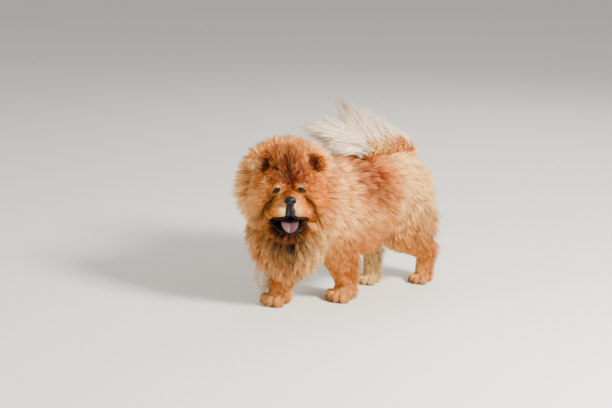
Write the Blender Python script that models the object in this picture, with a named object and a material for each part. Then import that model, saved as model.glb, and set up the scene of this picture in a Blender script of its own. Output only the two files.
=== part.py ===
"""A chow chow walking, life size: its body in parts, each with its coat.

Metres, Z up. The dog looks along -Y and its left side is +X. The floor is at Z 0.
"""

import itertools
import math
import random

import bmesh
import bpy
from mathutils import Matrix, Vector
from mathutils.bvhtree import BVHTree

# Gap between touching parts.
GAP = 0.0003

# The most that a sharp tip is moved out further than a flat face, to keep the gap round it,
# and how many gaps a lock's neighbours keep from it on each side.
SHARPEST = 5.0
SLEEVE = 1.6

# The trunk: heights of its middle line, and how far its coat stands off the skin.
RIB_HEIGHT = 0.355
LOIN_HEIGHT = 0.365
RUMP_HEIGHT = 0.36
RUMP_Y = 0.245
SHOULDER_Y = -0.15
COAT = 0.07

# The dense undercoat that the locks root in, as a share of the coat.
UNDERCOAT = 0.45

# A lock's thickness as a share of its width, and the cosine of its sharpest bend.
LOCK_THICKNESS = 0.07
SHARPEST_BEND = 0.6

# Locks of the coat by place: how many, length, width, how far the tip stands off the undercoat.
TORSO_LOCKS = (52, 0.165, 0.096, COAT * (1 - UNDERCOAT))
MANE_LOCKS = (60, 0.155, 0.088, 0.05)
HEAD_LOCKS = (34, 0.075, 0.048, 0.02)
THIGH_LOCKS = (12, 0.12, 0.055, 0.018)
ARM_LOCKS = (12, 0.07, 0.042, 0.014)

# No lock of the body hangs lower than this over the floor.
LOWEST_TIP = 0.085

# A leg's locks root between its paw and this height, and hang no lower than the feather's end.
THIGH_TOP = 0.24
ARM_TOP = 0.175
FEATHER_END = 0.045

# The head, turned to the dog's left. Its own directions: +X its right, +Y its nose, +Z up.
SKULL = Vector((0.055, -0.328, 0.487))
HEAD_YAW = math.radians(51)
EYE = Vector((0.0445, 0.07, 0.0))
EYE_RADIUS = 0.0115
NOSE = Vector((0, 0.143, -0.022))
EAR = Vector((0.0865, 0.0, 0.072))
EAR_LEAN = math.radians(28)
LIP_HEIGHT = -0.088
JAW_LIP_HEIGHT = -0.138
LIP_RADIUS = 0.005
LID_HEIGHT = 0.0095
LID_SLANT = math.radians(14)
MOUTH = Vector((0, 0.075, -0.112))

# The space that the head takes out of the mane, in the head's directions.
HOOD = (Vector((0, 0.06, 0.0)), Vector((0.155, 0.12, 0.188)))

# Where the paws stand: middle of each sole.
PAWS = {
    "forepaw_right": Vector((-0.075, -0.275, 0)),
    "forepaw_left": Vector((0.05, -0.055, 0)),
    "hindpaw_right": Vector((-0.045, 0.18, 0)),
    "hindpaw_left": Vector((0.08, 0.34, 0)),
}
FOREPAW = Vector((0.045, 0.05, 0.05))
HINDPAW = Vector((0.036, 0.04, 0.042))
TOES = 4

# The tail's own line, laid over the back, and the lie of its hair from root to tip.
TAIL_LINE = [
    Vector((0.0, 0.3, 0.47)),
    Vector((0.01, 0.33, 0.525)),
    Vector((0.02, 0.265, 0.56)),
    Vector((0.025, 0.17, 0.565)),
    Vector((0.025, 0.09, 0.56)),
]
TAIL_RADIUS = 0.03
PLUME = [
    (Vector((0.02, 0.3, 0.55)), Vector((0.0, 0.29, 0.6))),
    (Vector((0.02, 0.25, 0.565)), Vector((-0.01, 0.18, 0.66))),
    (Vector((0.02, 0.2, 0.57)), Vector((-0.03, 0.095, 0.7))),
    (Vector((0.02, 0.16, 0.57)), Vector((-0.06, 0.016, 0.742))),
]
WISP = [
    (Vector((0.02, 0.12, 0.57)), Vector((-0.06, -0.07, 0.65))),
    (Vector((0.02, 0.09, 0.565)), Vector((-0.04, -0.19, 0.668))),
]
# Rows of locks in each fan: how many, how far to the side, and their share of the full length.
PLUME_ROWS = [(7, 0.0, 1.0), (5, -0.035, 0.85), (4, 0.035, 0.75)]
WISP_ROWS = [(3, 0.0, 1.0), (2, -0.04, 0.9), (2, 0.035, 0.75)]

COLOURS = {
    "torso": (0.78, 0.42, 0.17),
    "mane": (0.8, 0.55, 0.33),
    "head": (0.72, 0.36, 0.12),
    "jaw": (0.6, 0.36, 0.18),
    "ear": (0.5, 0.24, 0.1),
    "leg": (0.72, 0.38, 0.15),
    "paw": (0.8, 0.55, 0.32),
    "tail": (0.88, 0.74, 0.62),
    "nose": (0.02, 0.02, 0.022),
    "eye": (0.03, 0.015, 0.008),
    "tongue": (0.42, 0.22, 0.3),
}


# The cutters that make room for each node with locks in its neighbours.
ROOM = {}


def clear_scene():
    for obj in list(bpy.data.objects):
        bpy.data.objects.remove(obj)


def painted(obj, name, colour, roughness=0.8):
    """Names the object and gives it its one material."""
    obj.name = name
    obj.data.name = name
    material = bpy.data.materials.get(colour)
    if material is None:
        material = bpy.data.materials.new(colour)
        material.use_nodes = True
        shader = material.node_tree.nodes["Principled BSDF"]
        shader.inputs["Base Color"].default_value = (*COLOURS[colour], 1)
        shader.inputs["Roughness"].default_value = roughness
    obj.data.materials.clear()
    obj.data.materials.append(material)
    return obj


def object_of(name, shape):
    """A new object from a bmesh, which it frees."""
    mesh = bpy.data.meshes.new(name)
    shape.to_mesh(mesh)
    shape.free()
    obj = bpy.data.objects.new(name, mesh)
    bpy.context.scene.collection.objects.link(obj)
    return obj


def ball(centre, radii, turn=None, segments=20, rings=12):
    """A closed ellipsoid."""
    shape = bmesh.new()
    bmesh.ops.create_uvsphere(shape, u_segments=segments, v_segments=rings, radius=1)
    place = Matrix.Translation(centre)
    if turn:
        place = place @ turn.to_4x4()
    shape.transform(place @ Matrix.Diagonal((*radii, 1)))
    return object_of("ball", shape)


def limb(start, end, start_radius, end_radius, sides=14):
    """A tapered rod with round ends between two joints, as three shells."""
    axis = end - start
    shape = bmesh.new()
    turn = axis.to_track_quat("Z", "X").to_matrix().to_4x4()
    bmesh.ops.create_cone(
        shape, cap_ends=True, segments=sides, radius1=start_radius, radius2=end_radius,
        depth=axis.length, matrix=Matrix.Translation((start + end) / 2) @ turn,
    )
    return [
        object_of("rod", shape),
        ball(start, (start_radius,) * 3),
        ball(end, (end_radius,) * 3),
    ]


def tube(points, radii, sides=8):
    """A closed bent rod through the points."""
    shape = bmesh.new()
    rings = []
    for k, point in enumerate(points):
        along = points[min(k + 1, len(points) - 1)] - points[max(k - 1, 0)]
        turn = along.to_track_quat("Z", "X").to_matrix()
        corners = []
        for n in range(sides):
            angle = 2 * math.pi * n / sides
            corner = Vector((math.cos(angle), math.sin(angle), 0)) * radii[k]
            corners.append(shape.verts.new(point + turn @ corner))
        rings.append(corners)
    shape.faces.new(rings[0])
    shape.faces.new(rings[-1])
    for low, high in zip(rings, rings[1:]):
        for n in range(sides):
            shape.faces.new((low[n - 1], low[n], high[n], high[n - 1]))
    bmesh.ops.triangulate(shape, faces=shape.faces[:])
    bmesh.ops.recalc_face_normals(shape, faces=shape.faces[:])
    return object_of("tube", shape)


def baked(obj):
    """The object with its modifiers applied."""
    graph = bpy.context.evaluated_depsgraph_get()
    mesh = bpy.data.meshes.new_from_object(obj.evaluated_get(graph))
    obj.modifiers.clear()
    obj.data = mesh
    return obj


def joined(pieces):
    """All pieces as one object of loose shells."""
    shape = bmesh.new()
    for piece in pieces:
        shape.from_mesh(piece.data)
        bpy.data.objects.remove(piece)
    return object_of("joined", shape)


def blended(pieces, voxel, rounds, triangles):
    """One smooth body grown together from overlapping pieces, with about so many triangles."""
    obj = joined(pieces)
    remesh = obj.modifiers.new("skin", "REMESH")
    remesh.mode = "VOXEL"
    remesh.voxel_size = voxel
    smooth = obj.modifiers.new("smooth", "SMOOTH")
    smooth.factor = 0.5
    smooth.iterations = rounds
    baked(obj)
    thin = obj.modifiers.new("thin", "DECIMATE")
    faces = sum(len(p.vertices) - 2 for p in obj.data.polygons)
    thin.ratio = min(1.0, triangles / faces)
    thin.use_collapse_triangulate = True
    return baked(obj)


def boolean(obj, others, operation, keep=False):
    """Joins others to obj, cuts them from it, or keeps what they share, and drops loose scraps."""
    group = bpy.data.collections.new("group")
    for other in others:
        group.objects.link(other)
    step = obj.modifiers.new(operation, "BOOLEAN")
    step.operation = operation
    step.operand_type = "COLLECTION"
    step.collection = group
    step.solver = "MANIFOLD"
    baked(obj)
    bpy.data.collections.remove(group)
    if not keep:
        for other in others:
            bpy.data.objects.remove(other)
    return largest_shell(obj)


def largest_shell(obj):
    """Keeps the object's largest closed surface."""
    shape = bmesh.new()
    shape.from_mesh(obj.data)
    left = set(shape.verts)
    shells = []
    while left:
        front = [left.pop()]
        shell = set(front)
        while front:
            for edge in front.pop().link_edges:
                for vert in edge.verts:
                    if vert in left:
                        left.remove(vert)
                        shell.add(vert)
                        front.append(vert)
        shells.append(shell)
    best = max(shells, key=lambda s: box_size(s))
    drop = [v for s in shells if s is not best for v in s]
    bmesh.ops.delete(shape, geom=drop, context="VERTS")
    shape.to_mesh(obj.data)
    shape.free()
    return obj


def box_size(verts):
    """The volume of the box round some vertices."""
    low = [min(v.co[k] for v in verts) for k in range(3)]
    high = [max(v.co[k] for v in verts) for k in range(3)]
    return math.prod(h - l for l, h in zip(low, high))


def lock(points, out, width, thick):
    """One flat lock through the points: its root, two bends and its tip. It faces along out."""
    shape = bmesh.new()
    rings = []
    for k, (wide, deep) in enumerate(((0.7, 1.0), (1.0, 0.8), (0.6, 0.5))):
        along = (points[k + 1] - points[max(k - 1, 0)]).normalized()
        side = along.cross(out).normalized()
        up = side.cross(along)
        reach = (side * width * wide / 2, up * thick * deep / 2)
        corners = (reach[0], reach[1], -reach[0], -reach[1])
        rings.append([shape.verts.new(points[k] + corner) for corner in corners])
    tip = shape.verts.new(points[3])
    shape.faces.new(rings[0])
    for low, high in zip(rings, rings[1:]):
        for k in range(4):
            shape.faces.new((low[k - 1], high[k - 1], high[k]))
            shape.faces.new((low[k - 1], high[k], low[k]))
    for k in range(4):
        shape.faces.new((rings[2][k - 1], tip, rings[2][k]))
    bmesh.ops.recalc_face_normals(shape, faces=shape.faces[:])
    return object_of("lock", shape)


def spread(centre, radii, count):
    """Evenly spread points on an egg shape, in a spiral from top to bottom."""
    golden = math.pi * (3 - math.sqrt(5))
    for k in range(count):
        height = 1 - (2 * k + 1) / count
        ring = math.sqrt(1 - height * height)
        round_ = Vector((math.cos(golden * k) * ring, math.sin(golden * k) * ring, height))
        yield centre + Vector(a * b for a, b in zip(round_, radii))


def coated(core, around, egg, locks, lie, grows, draw, lowest=LOWEST_TIP):
    """The core with its locks: rooted at points spread over an egg, each lying along lie there.

    The locks pass over the cores of the nodes around as well as over their own.
    """
    count, length, width, height = locks
    own = tree_of([core])
    skin = tree_of([core, *around])
    centre, radii = Vector(egg[0]), Vector(egg[1])
    made = []
    for far in spread(centre, radii * 2, count):
        root, normal, _, _ = own.ray_cast(far, centre - far)
        if root is None or not grows(root, normal):
            continue
        along = lie(root)
        along = (along - normal * along.dot(normal)).normalized()
        along = Matrix.Rotation(draw.uniform(-0.12, 0.12), 3, normal) @ along
        reach = length * draw.uniform(0.88, 1.1)
        points = [root - normal * width * 0.25]
        for share, rise in ((0.28, 0.45), (0.62, 0.85), (1.0, 1.05)):
            points.append(above(skin, root + along * reach * share, height * rise))
        strays = max((point - root).length - reach for point in points) > height * 1.3
        buried = (above(skin, root, 0) - root).length > width * 0.25
        ways = [(b - a).normalized() for a, b in zip(points, points[1:])]
        kinked = min(a.dot(b) for a, b in zip(ways, ways[1:])) < SHARPEST_BEND
        if strays or buried or kinked or points[-1].z < lowest:
            continue
        made.append(lock(points, normal, width * draw.uniform(0.9, 1.1), width * LOCK_THICKNESS))
    return grown(core, made)


def grown(core, locks):
    """The core and its locks as one body, once the cutters that clear its place are made."""
    ROOM[core] = [swollen(core)]
    for piece in locks:
        ROOM[core] += sleeve(piece)
    return boolean(core, locks, "UNION")


def sleeve(piece):
    """Round hulls about the three lengths of a lock, a gap away from it."""
    corners = [v.co for v in piece.data.vertices]
    made = []
    for first, last in ((0, 8), (4, 12), (8, 13)):
        shape = bmesh.new()
        for corner in corners[first:last]:
            for way in itertools.product((-GAP, GAP), repeat=3):
                shape.verts.new(corner + Vector(way) * SLEEVE)
        hull = bmesh.ops.convex_hull(shape, input=shape.verts[:])
        inner = {v for v in hull["geom_interior"] + hull["geom_unused"]
                 if isinstance(v, bmesh.types.BMVert)}
        bmesh.ops.delete(shape, geom=list(inner), context="VERTS")
        made.append(object_of("sleeve", shape))
    return made


def tree_of(objects):
    """A search tree over the faces of some objects."""
    shape = bmesh.new()
    for obj in objects:
        shape.from_mesh(obj.data)
    tree = BVHTree.FromBMesh(shape)
    shape.free()
    return tree


def above(skin, point, height):
    """The point that stands so high over the outermost skin near a point."""
    under, facing, _, _ = skin.find_nearest(point)
    outer, outer_facing, _, _ = skin.ray_cast(under + facing * 0.12, -facing)
    if outer is not None:
        under, facing = outer, outer_facing
    return under + facing * height


def copy_of(obj):
    """The object's mesh as a new bmesh."""
    shape = bmesh.new()
    shape.from_mesh(obj.data)
    return shape


def outward(vert, by):
    """The shortest move that brings a corner so far out over each of its faces."""
    move = vert.normal * by
    for face in list(vert.link_faces) * 12:
        short = by - move.dot(face.normal)
        if short > 0:
            move += face.normal * short
    move.length = min(move.length, by * SHARPEST)
    return move


def swollen(obj, by=2 * GAP, keep=True):
    """A copy of the object whose faces stand out by that much, to cut its place from a neighbour."""
    shape = copy_of(obj)
    bmesh.ops.triangulate(shape, faces=shape.faces[:])
    shape.normal_update()
    moves = [outward(vert, by) for vert in shape.verts]
    for vert, move in zip(shape.verts, moves):
        vert.co += move
    if not keep:
        bpy.data.objects.remove(obj)
    return object_of("swollen", shape)


def cut_by(obj, *neighbours):
    """Makes room in obj for its neighbours and the gap round them."""
    for neighbour in neighbours:
        if neighbour in ROOM:
            boolean(obj, ROOM[neighbour], "DIFFERENCE", keep=True)
        else:
            boolean(obj, [swollen(neighbour)], "DIFFERENCE")
    return obj


def standing(obj):
    """Cuts the object level at the floor and closes it."""
    shape = bmesh.new()
    shape.from_mesh(obj.data)
    everything = shape.verts[:] + shape.edges[:] + shape.faces[:]
    cut = bmesh.ops.bisect_plane(
        shape, geom=everything, plane_co=(0, 0, 0), plane_no=(0, 0, 1), clear_inner=True
    )
    rim = [e for e in cut["geom_cut"] if isinstance(e, bmesh.types.BMEdge)]
    bmesh.ops.holes_fill(shape, edges=rim, sides=0)
    shape.to_mesh(obj.data)
    shape.free()
    return obj


def head_frame():
    """From the head's own directions to the dog's."""
    return Matrix.Translation(SKULL) @ Matrix.Rotation(math.pi + HEAD_YAW, 4, "Z")


def in_head(centre, radii, tilt=0.0, both=False, segments=20, rings=12):
    """Ellipsoids placed in the head's own directions, as one, or as a pair left and right."""
    place = head_frame()
    made = []
    for side in (1, -1) if both else (1,):
        at = Vector((side * centre[0], centre[1], centre[2]))
        turn = place.to_3x3() @ Matrix.Rotation(tilt, 3, "X")
        made.append(ball(place @ at, radii, turn, segments, rings))
    return made


def skull():
    """Brow, cheeks and muzzle, with the mouth open under them."""
    pieces = in_head((0, -0.02, 0.03), (0.11, 0.09, 0.1))
    pieces += in_head((0.065, -0.005, -0.05), (0.06, 0.068, 0.078), both=True)
    pieces += in_head((0, 0.07, -0.05), (0.06, 0.07, 0.048))
    pieces += in_head((0.034, 0.1, -0.066), (0.034, 0.042, 0.034), both=True)
    pieces += in_head((0.055, 0.07, -0.078), (0.03, 0.05, 0.03), both=True)
    pieces += in_head((0, 0.09, -0.014), (0.026, 0.05, 0.02))
    pieces += in_head((0.045, 0.066, 0.034), (0.034, 0.026, 0.024), both=True)
    whole = blended(pieces, 0.005, 5, 820)
    mouth = in_head(MOUTH, (0.066, 0.085, 0.03), math.radians(-10), segments=16, rings=9)
    return boolean(whole, mouth, "DIFFERENCE")


def lip(height, wide, front, droop):
    """The rolled lip along one edge of the mouth, from corner to corner."""
    place = head_frame()
    points = []
    for k in range(9):
        angle = math.radians(-80 + 20 * k)
        x = wide * math.sin(angle)
        y = MOUTH.y - 0.025 + front * math.cos(angle)
        points.append(place @ Vector((x, y, height + droop * abs(math.sin(angle)))))
    return tube(points, [LIP_RADIUS] * 9, 6)


def lids():
    """Upper and lower lids, close over the eyes."""
    made = []
    for side in (1, -1):
        for up in (1, -1):
            at = head_frame() @ Vector((side * EYE.x, EYE.y + 0.003, EYE.z + up * LID_HEIGHT))
            turn = head_frame().to_3x3() @ Matrix.Rotation(side * LID_SLANT, 3, "Y")
            made.append(ball(at, (0.0165, 0.0085, 0.0045), turn, 8, 5))
    return made


def lower_jaw():
    """The short broad jaw that hangs open under the tongue."""
    pieces = in_head((0, 0.03, -0.152), (0.058, 0.075, 0.022))
    pieces += in_head((0, 0.078, -0.15), (0.042, 0.034, 0.024))
    return blended(pieces, 0.004, 3, 200)


def hood():
    """The egg that holds the head inside the mane."""
    return in_head(*HOOD)[0]


def head_hair(core, draw):
    """Locks over the brow, crown and cheeks, lying away from the nose."""
    frame = head_frame()
    back = frame.inverted()
    nose = frame @ NOSE

    def grows(root, normal):
        here = back @ root
        face = abs(here.x) < 0.075 and here.z < 0.07 and here.y > 0.02
        ear_near = min((here - Vector((side * EAR.x, EAR.y, EAR.z))).length for side in (1, -1))
        return not face and here.z > LIP_HEIGHT + 0.015 and here.y > -0.05 and ear_near > 0.045

    def lie(root):
        return root - nose

    egg = (SKULL, (0.12, 0.12, 0.12))
    return coated(core, [], egg, HEAD_LOCKS, lie, grows, draw)


def head_parts(draw):
    """The eyes, nose, ears, tongue, jaw and head, each clear of the others."""
    place = head_frame()
    parts = {}
    for name, side in (("left", -1), ("right", 1)):
        at = place @ Vector((side * EYE.x, EYE.y, EYE.z))
        eye = ball(at, (EYE_RADIUS,) * 3, segments=12, rings=8)
        parts[f"eye_{name}"] = painted(eye, f"eye_{name}", "eye", 0.15)
        parts[f"ear_{name}"] = painted(ear(side), f"ear_{name}", "ear")
    nose = in_head(NOSE, (0.022, 0.015, 0.0165), segments=12, rings=8)[0]
    at = NOSE + Vector((0.0105, 0.013, -0.001))
    nostrils = in_head(at, (0.0045, 0.006, 0.0045), both=True, segments=8, rings=5)
    boolean(nose, nostrils, "DIFFERENCE")
    parts["nose"] = painted(nose, "nose", "nose", 0.35)
    tongue_bodies = in_head((0, 0.04, -0.13), (0.034, 0.06, 0.014))
    tongue_bodies += in_head((0, 0.095, -0.128), (0.032, 0.028, 0.016))
    tongue = blended(tongue_bodies, 0.003, 3, 180)
    parts["tongue"] = painted(tongue, "tongue", "tongue", 0.4)
    head = boolean(skull(), lids() + [lip(LIP_HEIGHT, 0.062, 0.075, -0.014)], "UNION")
    head = boolean(head_hair(head, draw), [hood()], "INTERSECT")
    head = cut_by(head, *parts.values())
    jaw = boolean(lower_jaw(), [lip(JAW_LIP_HEIGHT, 0.05, 0.058, 0.01)], "UNION")
    jaw = boolean(jaw, [hood()], "INTERSECT")
    parts["jaw"] = painted(cut_by(jaw, head, tongue), "jaw", "jaw")
    parts["head"] = painted(head, "head", "head")
    return parts


def ear(side):
    """A small rounded ear with its cup to the front."""
    at = Vector((side * EAR.x, EAR.y, EAR.z))
    lean = Matrix.Rotation(side * EAR_LEAN, 3, "Y")
    place = head_frame()
    turn = place.to_3x3() @ lean
    shell = ball(place @ at, (0.033, 0.014, 0.042), turn, 14, 9)
    cup_at = at + lean @ Vector((0, 0.017, 0.004))
    cup = ball(place @ cup_at, (0.021, 0.015, 0.03), turn, 10, 7)
    return boolean(shell, [cup], "DIFFERENCE")


def paw(name, at, size):
    """A round compact foot with its toes, flat on the floor."""
    wide, long, high = size
    pieces = [ball(at + Vector((0, 0.012, high * 0.62)), (wide, long, high * 0.7))]
    for k in range(TOES):
        across = (k - (TOES - 1) / 2) * wide * 0.56
        reach = long * (0.86 if k in (1, 2) else 0.62)
        toe = at + Vector((across, -reach + 0.006, high * 0.4))
        pieces.append(ball(toe, (wide * 0.34, long * 0.42, high * 0.46)))
    foot = blended(pieces, 0.004, 2, 190)
    return painted(standing(foot), name, "paw")


def leg_hair(leg, joint, around, locks, top, draw):
    """Locks on a leg's back and outer side, hanging down and back."""
    def grows(root, normal):
        return FEATHER_END * 2 < root.z < top and normal.y > -0.35

    def lie(root):
        return Vector((0, 0.3, -1))

    egg = (joint, (0.08, 0.12, 0.16))
    return coated(leg, around, egg, locks, lie, grows, draw, FEATHER_END)


def foreleg(side, at):
    """A foreleg's core and the middle of its hairy stretch."""
    elbow = Vector((side * 0.085, SHOULDER_Y + 0.02, 0.27))
    wrist = at + Vector((0, 0.015, 0.07))
    return blended(limb(elbow, wrist, 0.06, 0.042), 0.008, 3, 180), elbow.lerp(wrist, 0.55)


def hindleg(side, at):
    """A hind leg's core and the middle of its hairy stretch."""
    hip = Vector((side * 0.095, RUMP_Y - 0.01, 0.33))
    stifle = Vector((side * 0.1, at.y * 0.4 + 0.07, 0.22))
    hock = at + Vector((side * 0.005, 0.016, 0.125))
    pieces = limb(hip, stifle, 0.08, 0.065)
    pieces.append(ball(Vector((side * 0.088, RUMP_Y + 0.065, 0.25)), (0.055, 0.06, 0.1)))
    pieces += limb(stifle, hock, 0.06, 0.036)
    pieces += limb(hock, at + Vector((0, 0.01, 0.05)), 0.036, 0.032)
    return blended(pieces, 0.008, 3, 260), stifle.lerp(hock, 0.5)


def fan(lies, rows, draw):
    """Locks that spread between the first and the last of some lies, each a root and a tip."""
    made = []
    for count, across, short in rows:
        for k in range(count):
            place = k / (count - 1) * (len(lies) - 1)
            first = min(int(place), len(lies) - 2)
            (root, tip), (root_b, tip_b) = lies[first:first + 2]
            root = root.lerp(root_b, place - first)
            tip = tip.lerp(tip_b, place - first)
            tip = root.lerp(tip, short * draw.uniform(0.92, 1.05))
            root = root + Vector((across * 0.4, 0, -0.008))
            tip = tip + Vector((across, 0, -abs(across) * 0.5))
            bow = Vector((across * 0.6, 0.012, 0.016))
            points = [root, root.lerp(tip, 0.38) + bow, root.lerp(tip, 0.72) + bow * 0.5, tip]
            made.append(lock(points, Vector((1, 0, 0)), 0.055, 0.008))
    return made


def tail(draw):
    core = tube(TAIL_LINE, [TAIL_RADIUS] * (len(TAIL_LINE) - 1) + [TAIL_RADIUS / 2], 10)
    hair = fan(PLUME, PLUME_ROWS, draw) + fan(WISP, WISP_ROWS, draw)
    return painted(grown(core, hair), "tail", "tail")


def torso():
    """The trunk with its undercoat."""
    under = COAT * UNDERCOAT
    pieces = [
        ball((0, -0.04, RIB_HEIGHT), (0.125 + under, 0.17 + under, 0.136 + under)),
        ball((0, 0.13, LOIN_HEIGHT), (0.115 + under, 0.14 + under, 0.118 + under)),
        ball((0, RUMP_Y, RUMP_HEIGHT), (0.115 + under, 0.11 + under, 0.12 + under)),
    ]
    return blended(pieces, 0.012, 6, 360)


def torso_hair(core, around, draw):
    def grows(root, normal):
        return root.y > -0.06 and normal.z > -0.9

    def lie(root):
        return Vector((0, 1, -0.25 - abs(root.x) * 3))

    egg = ((0, 0.13, 0.362), (0.15, 0.27, 0.155))
    return painted(coated(core, around, egg, TORSO_LOCKS, lie, grows, draw), "torso", "torso")


def mane():
    """The neck and chest with their undercoat, and the ruff round the head."""
    pieces = in_head((0, -0.09, -0.04), (0.162, 0.105, 0.17))
    pieces += [
        ball((-0.015, -0.2, 0.39), (0.168, 0.125, 0.18)),
        ball((-0.005, -0.275, 0.28), (0.138, 0.098, 0.152)),
    ]
    return blended(pieces, 0.012, 6, 360)


def mane_hair(core, around, draw):
    """Long locks that lie away from the face, over the neck and shoulders and down the chest."""
    frame = head_frame().inverted()
    face = head_frame() @ Vector((0, 0.12, 0.02))

    def grows(root, normal):
        here = frame @ root - HOOD[0]
        inside = Vector(a / b for a, b in zip(here, HOOD[1])).length < 0.93
        return not inside and root.y < -0.07

    def lie(root):
        return (root - face).normalized() + Vector((0, 0.2, -0.5))

    egg = ((0.0, -0.24, 0.36), (0.16, 0.15, 0.2))
    return painted(coated(core, around, egg, MANE_LOCKS, lie, grows, draw), "mane", "mane")


def centre_on_floor(objects):
    """Moves the whole dog sideways so that its box is centred over the origin."""
    points = [v.co for obj in objects for v in obj.data.vertices]
    for k in (0, 1):
        middle = (max(p[k] for p in points) + min(p[k] for p in points)) / 2
        for point in points:
            point[k] -= middle


def main():
    clear_scene()
    draw = random.Random(12)
    parts = head_parts(draw)
    ears = [parts["ear_left"], parts["ear_right"]]
    plume = tail(draw)
    trunk = torso()
    neck = mane()
    legs = []
    for name, at in PAWS.items():
        fore = name.startswith("fore")
        foot = paw(name, at, FOREPAW if fore else HINDPAW)
        make = foreleg if fore else hindleg
        leg, middle = make(1 if name.endswith("left") else -1, at)
        locks, top = (ARM_LOCKS, ARM_TOP) if fore else (THIGH_LOCKS, THIGH_TOP)
        leg = leg_hair(leg, middle, [trunk, neck], locks, top, draw)
        legs += [foot, painted(cut_by(leg, foot), name.replace("paw", "leg"), "leg")]
    ruff = mane_hair(neck, [trunk, *legs], draw)
    cut_by(boolean(ruff, [swollen(hood(), keep=False)], "DIFFERENCE"), *ears, plume, *legs)
    body = torso_hair(trunk, [ruff, *legs], draw)
    cut_by(body, *legs, ruff, plume)
    for cutter in [c for cutters in ROOM.values() for c in cutters]:
        bpy.data.objects.remove(cutter)
    ROOM.clear()
    centre_on_floor(list(bpy.data.objects))


main()
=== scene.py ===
import math

import bmesh
import bpy
import numpy as np
from mathutils import Matrix, Vector


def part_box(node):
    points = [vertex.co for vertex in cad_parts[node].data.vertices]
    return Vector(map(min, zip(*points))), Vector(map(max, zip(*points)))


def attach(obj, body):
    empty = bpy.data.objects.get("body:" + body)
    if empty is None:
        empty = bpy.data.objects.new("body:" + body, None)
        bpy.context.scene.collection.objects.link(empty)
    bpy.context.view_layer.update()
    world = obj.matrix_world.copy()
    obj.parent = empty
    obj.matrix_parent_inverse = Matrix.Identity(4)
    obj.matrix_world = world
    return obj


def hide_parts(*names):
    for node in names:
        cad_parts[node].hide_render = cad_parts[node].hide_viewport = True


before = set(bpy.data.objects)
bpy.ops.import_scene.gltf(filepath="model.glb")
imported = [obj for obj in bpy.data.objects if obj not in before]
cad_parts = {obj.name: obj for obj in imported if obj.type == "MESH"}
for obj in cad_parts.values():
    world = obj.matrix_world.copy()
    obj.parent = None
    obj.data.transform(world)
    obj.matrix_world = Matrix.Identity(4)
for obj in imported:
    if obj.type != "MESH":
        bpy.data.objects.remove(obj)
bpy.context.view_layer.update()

# The head, turned to the dog's left. Its own directions: +X its right, +Y its nose, +Z up.
SKULL = Vector((0.055, -0.328, 0.487))
HEAD_YAW = math.radians(51)
EYE = Vector((0.0445, 0.07, 0.0))
EYE_RADIUS = 0.0115
EYE_SLANT = math.radians(28)
NOSE = Vector((0, 0.143, -0.022))
EAR = Vector((0.0865, 0.014, 0.074))
EAR_LEAN = math.radians(28)
EAR_HOLLOW = (0, 0.014, 0.004)
MOUTH = Vector((0, 0.075, -0.112))
MOUTH_TILT = math.radians(-10)

# Where the paws stand, and their half sizes.
PAWS = {
    "forepaw_right": Vector((-0.075, -0.275, 0)),
    "forepaw_left": Vector((0.05, -0.055, 0)),
    "hindpaw_right": Vector((-0.045, 0.18, 0)),
    "hindpaw_left": Vector((0.08, 0.34, 0)),
}
FOREPAW = Vector((0.045, 0.05, 0.05))
HINDPAW = Vector((0.036, 0.04, 0.042))
TOES = 4
FUR_ON_PAWS = 0.004

# The tail's line over the back.
TAIL_LINE = [
    Vector((0.0, 0.3, 0.47)),
    Vector((0.01, 0.32, 0.518)),
    Vector((0.02, 0.265, 0.556)),
    Vector((0.025, 0.17, 0.565)),
    Vector((0.025, 0.09, 0.56)),
]
TAIL_RADIUS = 0.024

# The lie of the plume from its rear to its wisp: where hair roots, where it ends, and its bow.
PLUME = [
    (Vector((0.02, 0.31, 0.545)), Vector((0.0, 0.335, 0.58)), 0.0),
    (Vector((0.02, 0.27, 0.56)), Vector((-0.015, 0.245, 0.65)), 0.0),
    (Vector((0.02, 0.22, 0.568)), Vector((-0.05, 0.155, 0.703)), -0.004),
    (Vector((0.02, 0.17, 0.57)), Vector((-0.085, 0.09, 0.728)), -0.01),
    (Vector((0.02, 0.15, 0.57)), Vector((-0.115, 0.062, 0.772)), -0.016),
    (Vector((0.02, 0.15, 0.57)), Vector((-0.115, 0.058, 0.766)), -0.016),
    (Vector((0.02, 0.12, 0.568)), Vector((-0.075, 0.04, 0.683)), 0.0),
    (Vector((0.02, 0.09, 0.565)), Vector((-0.08, -0.085, 0.688)), 0.014),
    (Vector((0.02, 0.08, 0.565)), Vector((-0.075, -0.215, 0.68)), 0.018),
    (Vector((0.02, 0.07, 0.56)), Vector((-0.035, -0.14, 0.632)), 0.02),
    (Vector((0.02, 0.07, 0.555)), Vector((-0.01, -0.14, 0.595)), 0.02),
    (Vector((0.02, 0.08, 0.55)), Vector((0.03, -0.08, 0.562)), 0.016),
]
PLUME_SPIRE = 4.4
PLUME_SIDE = 0.045
PLUME_TOP = 0.74
PLUME_ROUNDING = 0.02
PLUME_LOCKS = 130
PLUME_TUFTS = 8800

# The pale feather outside the right foreleg.
FEATHER_ROOT = np.array((-0.1, -0.266, 0.185))
FEATHER_TIP = np.array((-0.136, -0.3, 0.022))
FEATHER_TUFTS = 1000
FEATHER_LOCK = 14

# The mesh width of the skin on the body, on the head and paws, and on the nose.
BODY_GRAIN = 0.008
FINE_GRAIN = 0.003
NOSE_GRAIN = 0.0011

# Tufts to a square metre of skin, by region.
DENSITY = {
    "head": 150000, "mane": 118000, "torso": 104000, "foreleg": 82000, "hindleg": 62000,
    "paw": 105000, "tail": 90000,
}

# How far the regions run into each other on the skin and in the hair.
SKIN_BLEND = 0.012
HAIR_BLEND = 0.026

# Where the pieces of the coat part: behind the face, at the top of the chest, before the rump.
FACE_BACK = 0.035
CHEST_TOP = 0.34
RUMP_FRONT = 0.2

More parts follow.
